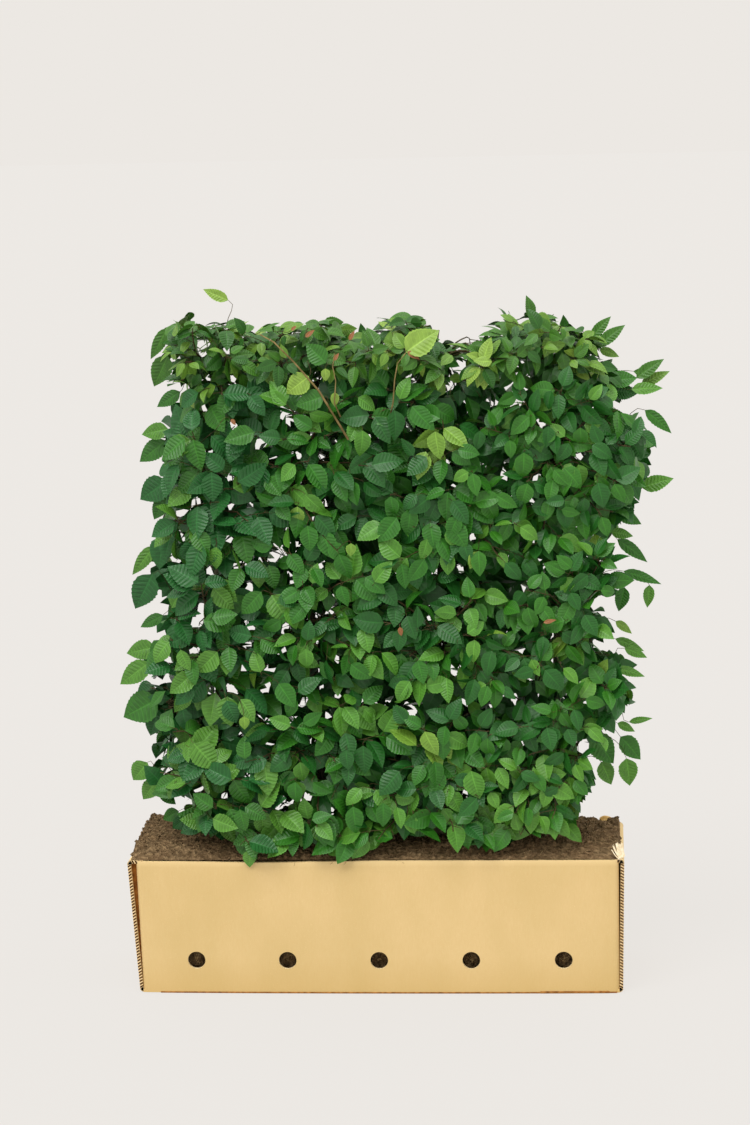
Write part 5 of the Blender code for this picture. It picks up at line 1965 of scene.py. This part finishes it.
def build_ends(board):
    """End boards of three papers with two rows of flutes that show at the cut edges, over a dark plate
    that paints the shade in the flutes' hollows.
    """
    liners, flutes, cores, tucks = Parts(), Parts(), Parts(), Parts()
    half = END_BOARD_DEPTH / 2
    for side in (-1, 1):
        def place(point, y, side=side):
            return (side * point.x, y, point.y)

        path = end_path(side)
        for distance in LINER_PLACES:
            strip(liners, beside(path, distance), LINER, (-half, half), place)
        # The dark plate paints the shade between the flutes.
        strip(cores, path, SHADE_PLATE_THICKNESS, (-half - SHADE_PLATE_PROUD, half + SHADE_PLATE_PROUD), place)
        fine = even_steps(path, FLUTE_PITCH)
        for before, after in zip(fine, fine[1:]):
            along = (after - before).normalized()
            across = Vector((-along.y, along.x)) * FLUTE_REACH
            slant = along * FLUTE_SLANT
            flute_line = [before - across - slant, before + across + slant]
            for start in (-half - FLUTE_PROUD, half + FLUTE_PROUD - FLUTE_SHOWN):
                strip(flutes, flute_line, FLUTE_PAPER, (start, start + FLUTE_SHOWN), place)
        # Left tucks take the darkened tuck paper and right ones the dark plate, both painted shade of
        # the gaps
        for y in (-TUCK_PLACE[side], TUCK_PLACE[side]):
            add_tuck(tucks if side < 0 else cores, side, y)
    pieces = (
        ("trough_cores", cores, paper_material("core")),
        ("trough_tucks", tucks, paper_material("tuck_painted_shade")),
        ("trough_ends", liners, board),
        ("trough_flutes", flutes, paper_material("flute")),
    )
    for name, parts, material in pieces:
        trough_piece(parts.build(name, material, False))


# Torn paper at the right front corner: x, y and height of its foot, length, width, turn and lean
# in degrees
TORN_PAPER = (
    (0.505, -0.142, 0.286, 0.032, 0.009, 150, 42),
    (0.507, -0.137, 0.287, 0.031, 0.012, 136, 50),
    (0.502, -0.146, 0.286, 0.024, 0.006, 160, 34),
    (0.508, -0.128, 0.287, 0.026, 0.013, 112, 58),
)
PAPER_ROWS = 6
PAPER_COLUMNS = 4
PAPER_TORN = 0.25
PAPER_WAVES = 4
PAPER_APART = 3.1
PAPER_CURL = 0.25
PAPER_ROLL = 0.5
PAPER_TAPER = 0.35

# Corner of board that stands up behind the soil, its paper brightened as painted light: x of its ends,
# foot, height and place
RIM_TAB = (0.460, 0.488, 0.2870, 0.0135, 0.134)
TAB_BOARD = 0.004
TAB_LEAN = 0.012
TAB_SHOULDER = 0.62
TAB_CREST = 0.38
TAB_SKEW = 0.8
TAB_RAGGED = 0.001
TAB_WAVES = 150
TAB_POINTS = 9
TAB_ROWS = 4


def build_torn_paper():
    """Small curled leaves of paper with a torn edge."""
    parts = Parts()
    for number, (x, y, z, length, width, turn, lean) in enumerate(TORN_PAPER):
        turn, lean = math.radians(turn), math.radians(lean)
        level = math.cos(lean)
        along = Vector((math.cos(turn) * level, math.sin(turn) * level, math.sin(lean)))
        across = Vector((-math.sin(turn), math.cos(turn), 0))
        normal = along.cross(across)
        points = []
        for row in range(PAPER_ROWS):
            for column in range(PAPER_COLUMNS):
                up, over = row / (PAPER_ROWS - 1), column / (PAPER_COLUMNS - 1) - 0.5
                waves = noise.noise(Vector((number * PAPER_APART, over * PAPER_WAVES, 2.0)))
                torn = waves * PAPER_TORN * (up == 1)
                curl = PAPER_CURL * length * up * up - PAPER_ROLL * width * over * over
                point = Vector((x, y, z)) + along * length * (up + torn)
                point += across * width * over * (1 - PAPER_TAPER * up) + normal * curl
                points.append(point)
        parts.add(np.array(points), grid_faces(PAPER_ROWS, PAPER_COLUMNS))
    trough_piece(parts.build("torn_paper", paper_material("torn_liner"), True))


def build_rim_tab():
    left, right, foot, rise, place = RIM_TAB
    parts = Parts()
    path = [Vector((left + (right - left) * share, 0)) for share in np.linspace(0, 1, TAB_POINTS)]

    def at(point, level):
        share = clamp((point.x - left) / (right - left))
        top = rise * (TAB_SHOULDER + TAB_CREST * math.sin(math.pi * share ** TAB_SKEW))
        top += TAB_RAGGED * noise.noise(point.to_3d() * TAB_WAVES)
        return (point.x, place + point.y + TAB_LEAN * level, foot + top * level)

    strip(parts, path, TAB_BOARD, np.linspace(0, 1, TAB_ROWS), at)
    trough_piece(parts.build("rim_tab", paper_material("tab"), False))


# Dirt lines on the front panel: x, upper and lower end, sideways run
DIRT_LINES = (
    (-0.172, 0.281, 0.268, -0.004),
    (-0.094, 0.283, 0.277, -0.003),
    (-0.089, 0.277, 0.265, 0.001),
    (-0.065, 0.283, 0.275, -0.006),
    (0.052, 0.281, 0.279, 0.006),
)
DIRT_POINTS = 5
DIRT_SIDES = 4
DIRT_BEND = 0.0012
DIRT_OUT = 0.0004
DIRT_RADII = (0.0004, 0.0002)


def build_dirt_lines():
    lines = Limbs(DIRT_POINTS, DIRT_SIDES)
    share = np.linspace(0, 1, DIRT_POINTS)
    front = np.full(DIRT_POINTS, -TROUGH_DEPTH / 2 - DIRT_OUT)
    for x, upper, lower, run in DIRT_LINES:
        bend = DIRT_BEND * np.sin(share * 5)
        path = np.stack([x + run * share + bend, front, upper + (lower - upper) * share], -1)
        path[:, 1] -= DIRT_OUT * np.sin(share * 3)
        lines.add(path, *DIRT_RADII)
    trough_piece(limb_piece("trough_marks", paper_material("marks"), False, lines))


# Folds under the front panel, dark as painted shade along its foot: x of the ends and radius
FOLD_LINES = ((-0.462, 0.494, 0.0019), (0.335, 0.478, 0.0028))
FOLD_POINTS = 25
FOLD_SIDES = 6
FOLD_SUNK = 0.3
FOLD_RISE = 0.75


def build_folds():
    folds = Limbs(FOLD_POINTS, FOLD_SIDES)
    for start, end, radius in FOLD_LINES:
        path = []
        for x in np.linspace(start, end, FOLD_POINTS):
            bulge = WALL_BULGE * math.cos(math.pi * x / TROUGH_LENGTH) ** BULGE_POWER
            path.append((x, -TROUGH_DEPTH / 2 - bulge + radius * FOLD_SUNK, radius * FOLD_RISE))
        folds.add(path, radius, radius)
    # The folds' paper is dark as painted shade.
    trough_piece(limb_piece("trough_folds_painted_shade", paper_material("fold"), False, folds))


# Soil

def soil_level(x, y):
    """Top of the soil heap, by the source's rule, with lumps of several sizes."""
    half_depth = TROUGH_DEPTH / 2 - BOARD
    across = max(1 - (y / half_depth) ** 2, 0)
    along = max(1 - (abs(x) / SOIL_OVERHANG) ** SOIL_SHOULDER, 0)
    from_front = clamp((y + SOIL_HALF_DEPTH) / SOIL_RAMP) ** SOIL_RAMP_POWER
    heap = SOIL_HEAP + SOIL_RISE * 0.5 * across * along
    height = TROUGH_HEIGHT + SOIL_FOOT + heap * from_front
    for scale, size in SOIL_LUMPS:
        height += size * noise.noise(Vector((x * scale, y * scale, scale)))
    left_heap = SOIL_EDGE_HEAP * math.exp(-((x - SOIL_LEFT) / SOIL_LEFT_RUN) ** 2)
    height += left_heap * min(from_front * SOIL_LEFT_RISE, 1)
    dip_x, dip_y = ((v - place) / size for v, place, size in zip((x, y), SOIL_DIP_PLACE, SOIL_DIP_SIZE))
    height -= SOIL_DIP * math.exp(-dip_x ** 2 - dip_y ** 2)
    uneven_place = Vector((x * SOIL_UNEVEN_WAVES, y * SOIL_UNEVEN_WAVES, 9.0))
    uneven = SOIL_UNEVEN * noise.noise(uneven_place)
    rim = TROUGH_HEIGHT + SOIL_RIM
    fall = clamp(1 - (SOIL_HALF_DEPTH - abs(y) + uneven) / SOIL_FALL)
    height += (rim - height) * fall ** 2
    fall = clamp(1 - (min(x - SOIL_LEFT, SOIL_RIGHT - x)) / SOIL_END_FALL)
    return height + (rim - height) * fall ** 3


def build_soil():
    """The heap with its crumbs, also behind the drain holes, and the straw and roots on it."""
    rng = random.Random(LOOKS_SEED)
    half_depth = TROUGH_DEPTH / 2 - BOARD - SOIL_CLEARANCE
    heap = Parts()
    xs = np.linspace(SOIL_LEFT, SOIL_RIGHT, SOIL_COLUMNS)
    ys = np.linspace(-SOIL_HALF_DEPTH, SOIL_HALF_DEPTH, SOIL_ROWS)
    points = np.array([(x, y, soil_level(x, y)) for y in ys for x in xs])
    places = [Vector((x * SOIL_SHAKEN_WAVES, y * SOIL_SHAKEN_WAVES, 3.0)) for x, y, _ in points]
    points[:, 0] += [SOIL_SHAKEN * noise.noise(place) for place in places]
    heap.add(points, grid_faces(SOIL_ROWS, SOIL_COLUMNS))
    fill = [Vector((-SOIL_FILL_END, 0)), Vector((SOIL_FILL_END, 0))]
    levels = np.linspace(BOARD + SOIL_FILL_GAP, TROUGH_HEIGHT - SOIL_FILL_GAP, 3)
    strip(heap, fill, 2 * (half_depth - HOLE_SOIL_DEPTH), levels, flat_place)
    for number in range(CRUMBS + RIM_CRUMBS):
        x = rng.uniform(SOIL_LEFT - CRUMB_OVER, SOIL_RIGHT + CRUMB_OVER)
        y = rng.uniform(-half_depth, half_depth)
        size = CRUMB_SMALLEST + CRUMB_RANGE * rng.random() ** 3
        if number >= CRUMBS:
            y = -rng.uniform(half_depth, TROUGH_DEPTH / 2 - RIM_CRUMB_INSET)
            size = rng.uniform(*RIM_CRUMB_SIZES)
            z = TROUGH_HEIGHT + size * RIM_CRUMB_SUNK
        else:
            z = soil_level(clamp(x, SOIL_LEFT, SOIL_RIGHT), y) + size * CRUMB_SUNK
        add_crumb(heap, rng, Vector((x, y, z)), size)
    behind = half_depth - HOLE_SOIL_DEPTH + HOLE_CRUMB_INSET
    for index in range(HOLE_COUNT):
        for y in (-behind, behind):
            add_hole_crumbs(heap, rng, hole_x(index), y)
    soil_piece(heap.build("soil_heap", soil_material(), False))
    straws = Limbs(STRAW_POINTS, STRAW_SIDES)
    for _ in range(STRAWS):
        add_straw(straws, rng)
    for index in range(HOLE_COUNT):
        for _ in range(HOLE_ROOTS):
            add_hole_root(straws, rng, hole_x(index), half_depth)
    soil_piece(limb_piece("straw", paper_material("straw"), True, straws))


def add_crumb(parts, rng, centre, size):
    """A small lump: an uneven eight-sided solid."""
    arms = [Vector(arm) for arm in ((1, 0, 0), (0, 1, 0), (-1, 0, 0), (0, -1, 0), (0, 0, 1), (0, 0, -1))]
    points = [centre + arm * size * rng.uniform(*CRUMB_UNEVEN) for arm in arms]
    faces = [(i, (i + 1) % 4, 4) for i in range(4)] + [((i + 1) % 4, i, 5) for i in range(4)]
    parts.add(np.array(points), np.array(faces))


def add_hole_crumbs(parts, rng, x, y):
    """Crumbs on the soil that a drain hole shows."""
    for _ in range(HOLE_CRUMBS):
        angle = rng.uniform(0, 2 * math.pi)
        reach = HOLE_DIAMETER * HOLE_CRUMB_SPREAD * math.sqrt(rng.random())
        place = Vector((x + reach * math.cos(angle), y, HOLE_HEIGHT + reach * math.sin(angle)))
        add_crumb(parts, rng, place, rng.uniform(*HOLE_CRUMB_SIZES))


def add_straw(straws, rng):
    """A bent bit of straw lying on the heap."""
    x, y = (rng.uniform(-reach, reach) for reach in STRAW_SPREAD)
    turn = rng.uniform(0, math.pi)
    length = STRAW_SHORTEST + STRAW_RANGE * rng.random() ** 2
    bend = rng.uniform(-STRAW_BEND, STRAW_BEND)
    path = []
    for share in np.linspace(0, 1, STRAW_POINTS):
        heading = turn + bend * (share - 0.5)
        px = clamp(x + math.cos(heading) * length * (share - 0.5), SOIL_LEFT, SOIL_RIGHT)
        py = clamp(y + math.sin(heading) * length * (share - 0.5), -STRAW_EDGE, STRAW_EDGE)
        above = soil_level(px, py) + STRAW_ABOVE
        path.append((px, py, above + rng.uniform(0, STRAW_ABOVE_RANGE)))
    straws.add(path, rng.uniform(*STRAW_RADII), STRAW_TIP_RADIUS)


def add_hole_root(straws, rng, x, half_depth):
    """A root fibre lying on the soil that a drain hole shows."""
    angle = rng.uniform(0, 2 * math.pi)
    reach = HOLE_DIAMETER / 2 * ROOT_REACH
    start = Vector((math.cos(angle), math.sin(angle))) * reach * rng.uniform(*ROOT_START)
    across = math.cos(angle + rng.uniform(*ROOT_TURN))
    end = Vector((across, math.sin(angle + rng.uniform(*ROOT_TURN)))) * reach
    sag = rng.uniform(-ROOT_SAG, ROOT_SAG)
    path = []
    for share in np.linspace(0, 1, STRAW_POINTS):
        point = start.lerp(end, share)
        bow = math.sin(math.pi * share)
        y = -half_depth + HOLE_SOIL_DEPTH * (ROOT_DEPTH - ROOT_BOW * bow)
        path.append((x + point.x + sag * bow, y, HOLE_HEIGHT + point.y + sag * bow))
    straws.add(path, *ROOT_RADII)


def soil_piece(piece):
    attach(piece, "root")
    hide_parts("soil")


# Stems and boughs with bark relief

# Ridges and bumps of the bark, and how finely the stems and boughs are made
BARK_RIDGES = 0.10
BARK_RIDGE_TURN = 1.3
BARK_RIDGE_WAVES = 14
BARK_BUMPS = 0.06
BARK_BUMP_WAVES = 160.0
STEM_BARK_RINGS = 150
STEM_BARK_CROWDING = 1.1
STEM_SIDES = 14
STEM_SUNK = 0.004
STEM_SEED = 7.1
BOUGH_RINGS = 16
BOUGH_SIDES = 9
BOUGH_BEND = 0.66
BOUGH_SEED = 3.7

# The stem's thin end above the source's tip: the points that shape it, from that tip
LEADER = ((0, 0, 0), (0.004, 0, 0.05), (-0.004, 0.003, 0.11), (0.006, 0.004, 0.165))
LEADER_RINGS = 30
LEADER_TIP_RADIUS = 0.0016


def barked(name, path, radii, sides, material, seed):
    """A limb whose surface has long ridges and small bumps."""
    paths = np.array(path, float)[None]
    points, quads, ends = tubes(paths, np.array(radii, float)[None], sides)
    for ring in range(points.shape[1]):
        centre = paths[0, ring]
        for step in range(sides):
            point = points[0, ring, step]
            ridge_place = Vector((step * BARK_RIDGE_TURN + seed, centre[2] * BARK_RIDGE_WAVES, seed))
            ridge = BARK_RIDGES * noise.noise(ridge_place)
            bump = BARK_BUMPS * noise.noise(Vector(point * BARK_BUMP_WAVES))
            points[0, ring, step] = centre + (point - centre) * (1 + ridge + bump)
    parts = Parts()
    parts.add(points, quads)
    parts.faces.append(ends)
    return parts.build(name, material, True)


def build_stem(stem, bark):
    shares = np.linspace(0, 1, STEM_BARK_RINGS) ** STEM_BARK_CROWDING
    path = [stem.place(share) for share in shares]
    radii = [stem.radius(share) for share in shares]
    leader = bezier(*(path[-1] + Vector(offset) for offset in LEADER), LEADER_RINGS)[1:]
    path += [Vector(point) for point in leader]
    radii += list(np.linspace(STEM_TIP_RADIUS, LEADER_TIP_RADIUS, LEADER_RINGS - 1))
    path[0] = path[0] - Vector((0, 0, STEM_SUNK))
    number = stem.index + 1
    piece = barked(f"stem_bark_{number}", path, radii, STEM_SIDES, bark, stem.index * STEM_SEED)
    plant_piece(piece, "hornbeam_bark", f"stem_{number}")


def build_bough(number, space, bark):
    root = space.stem.at(space.middle.z - space.drop)
    tip = bough_tip(space)
    middle = root.lerp(tip, 0.5)
    middle.z -= BOUGH_SAG * (tip - root).length
    bends = (root.lerp(middle, BOUGH_BEND), tip.lerp(middle, BOUGH_BEND))
    path = bezier(root, *bends, tip, BOUGH_RINGS)
    radii = np.linspace(BOUGH_ROOT_RADIUS, BOUGH_TIP_RADIUS, BOUGH_RINGS)
    name = space.name.replace("foliage", "bough")
    bark_name = name.replace("bough", "bough_bark")
    piece = barked(bark_name, path, radii, BOUGH_SIDES, bark, number * BOUGH_SEED)
    plant_piece(piece, "hornbeam_bark", name)


# Camera, light and floor

def camera_axes():
    yaw, pitch, roll = CAMERA_YAW, CAMERA_PITCH, CAMERA_ROLL
    right = Vector((math.cos(yaw), math.sin(yaw), 0))
    ahead = Vector((-math.sin(yaw) * math.cos(pitch), math.cos(yaw) * math.cos(pitch), -math.sin(pitch)))
    up = right.cross(ahead)
    rolled_right = right * math.cos(roll) + up * math.sin(roll)
    rolled_up = up * math.cos(roll) - right * math.sin(roll)
    return rolled_right, rolled_up, ahead


def add_camera():
    data = bpy.data.cameras.new("camera")
    data.sensor_width = SENSOR
    data.lens = FOCAL_PIXELS * SENSOR / PHOTO_HEIGHT
    data.clip_end = CAMERA_REACH
    camera = bpy.data.objects.new("camera", data)
    right, up, ahead = camera_axes()
    turned = Matrix((right, up, -ahead)).transposed().to_4x4()
    camera.matrix_world = Matrix.Translation(CAMERA_PLACE) @ turned
    bpy.context.scene.collection.objects.link(camera)
    bpy.context.scene.camera = camera


# Colour behind the object and on the floor, the floor's size and how strongly shadows show on it
BACKDROP = (236, 232, 227)
FLOOR_HALF = 40
FLOOR_BELOW = 0.0005
FLOOR_GREY = 0.571
FLOOR_SHADE_SHARE = 0.12

# Lights: name, strength, size as an angle in degrees, and the way towards the light
LIGHTS = (
    ("key", 1.5, 35, (-0.45, -0.75, 1.25)),
    ("top", 1.0, 60, (0.15, -0.1, 1.0)),
    ("front", 0.22, 90, (0.1, -1.0, 0.25)),
)


def add_light():
    scene = bpy.context.scene
    scene.view_settings.view_transform = "Standard"
    scene.view_settings.look = "None"
    world = bpy.data.worlds.new("studio")
    world.use_nodes = True
    background = world.node_tree.nodes["Background"]
    background.inputs["Color"].default_value = linear(*BACKDROP)
    background.inputs["Strength"].default_value = 1.0
    scene.world = world
    for name, energy, angle, direction in LIGHTS:
        data = bpy.data.lights.new(name, "SUN")
        data.energy = energy
        data.angle = math.radians(angle)
        lamp = bpy.data.objects.new(name, data)
        lamp.rotation_mode = "QUATERNION"
        lamp.rotation_quaternion = Vector(direction).to_track_quat("Z", "Y")
        scene.collection.objects.link(lamp)


def add_floor():
    """A pale floor that takes soft shadows and otherwise looks like the backdrop."""
    parts = Parts()
    turns = ((-1, -1), (1, -1), (1, 1), (-1, 1))
    corners = [(x * FLOOR_HALF, y * FLOOR_HALF, -FLOOR_BELOW) for x, y in turns]
    parts.add(np.array(corners), np.array([(0, 1, 2, 3)]))
    material = bpy.data.materials.new("pale_floor")
    material.use_nodes = True
    nodes, links = material.node_tree.nodes, material.node_tree.links
    nodes.remove(nodes["Principled BSDF"])
    emission = nodes.new("ShaderNodeEmission")
    emission.inputs["Color"].default_value = linear(*BACKDROP)
    diffuse = nodes.new("ShaderNodeBsdfDiffuse")
    diffuse.inputs["Color"].default_value = (FLOOR_GREY, FLOOR_GREY, FLOOR_GREY, 1)
    mix = nodes.new("ShaderNodeMixShader")
    mix.inputs["Fac"].default_value = FLOOR_SHADE_SHARE
    links.new(emission.outputs[0], mix.inputs[1])
    links.new(diffuse.outputs[0], mix.inputs[2])
    links.new(mix.outputs[0], nodes["Material Output"].inputs["Surface"])
    parts.build("floor", material, False)


def main():
    for obj in list(bpy.data.objects):
        bpy.data.objects.remove(obj, do_unlink=True)
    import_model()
    add_camera()
    add_light()
    add_floor()
    stems = [Stem(index) for index in range(STEM_COUNT)]
    spaces = make_spaces(stems, random.Random(SEED))
    bark = bark_material()
    for stem in stems:
        build_stem(stem, bark)
    for number, space in enumerate(spaces):
        if space.drop is not None:
            build_bough(number, space, bark)
    crown = Crown(random.Random(LOOKS_SEED), stems)
    crown.mark_leaves()
    for space in spaces:
        crown.mass(space)
    crown.close_cover(1, FRONT_ROUNDS)
    crown.close_cover(0, FILL_ROUNDS)
    crown.hang_marked()
    crown.build(spaces)
    board = board_material()
    build_walls(board)
    build_ends(board)
    build_torn_paper()
    build_folds()
    build_rim_tab()
    build_dirt_lines()
    build_soil()


main()
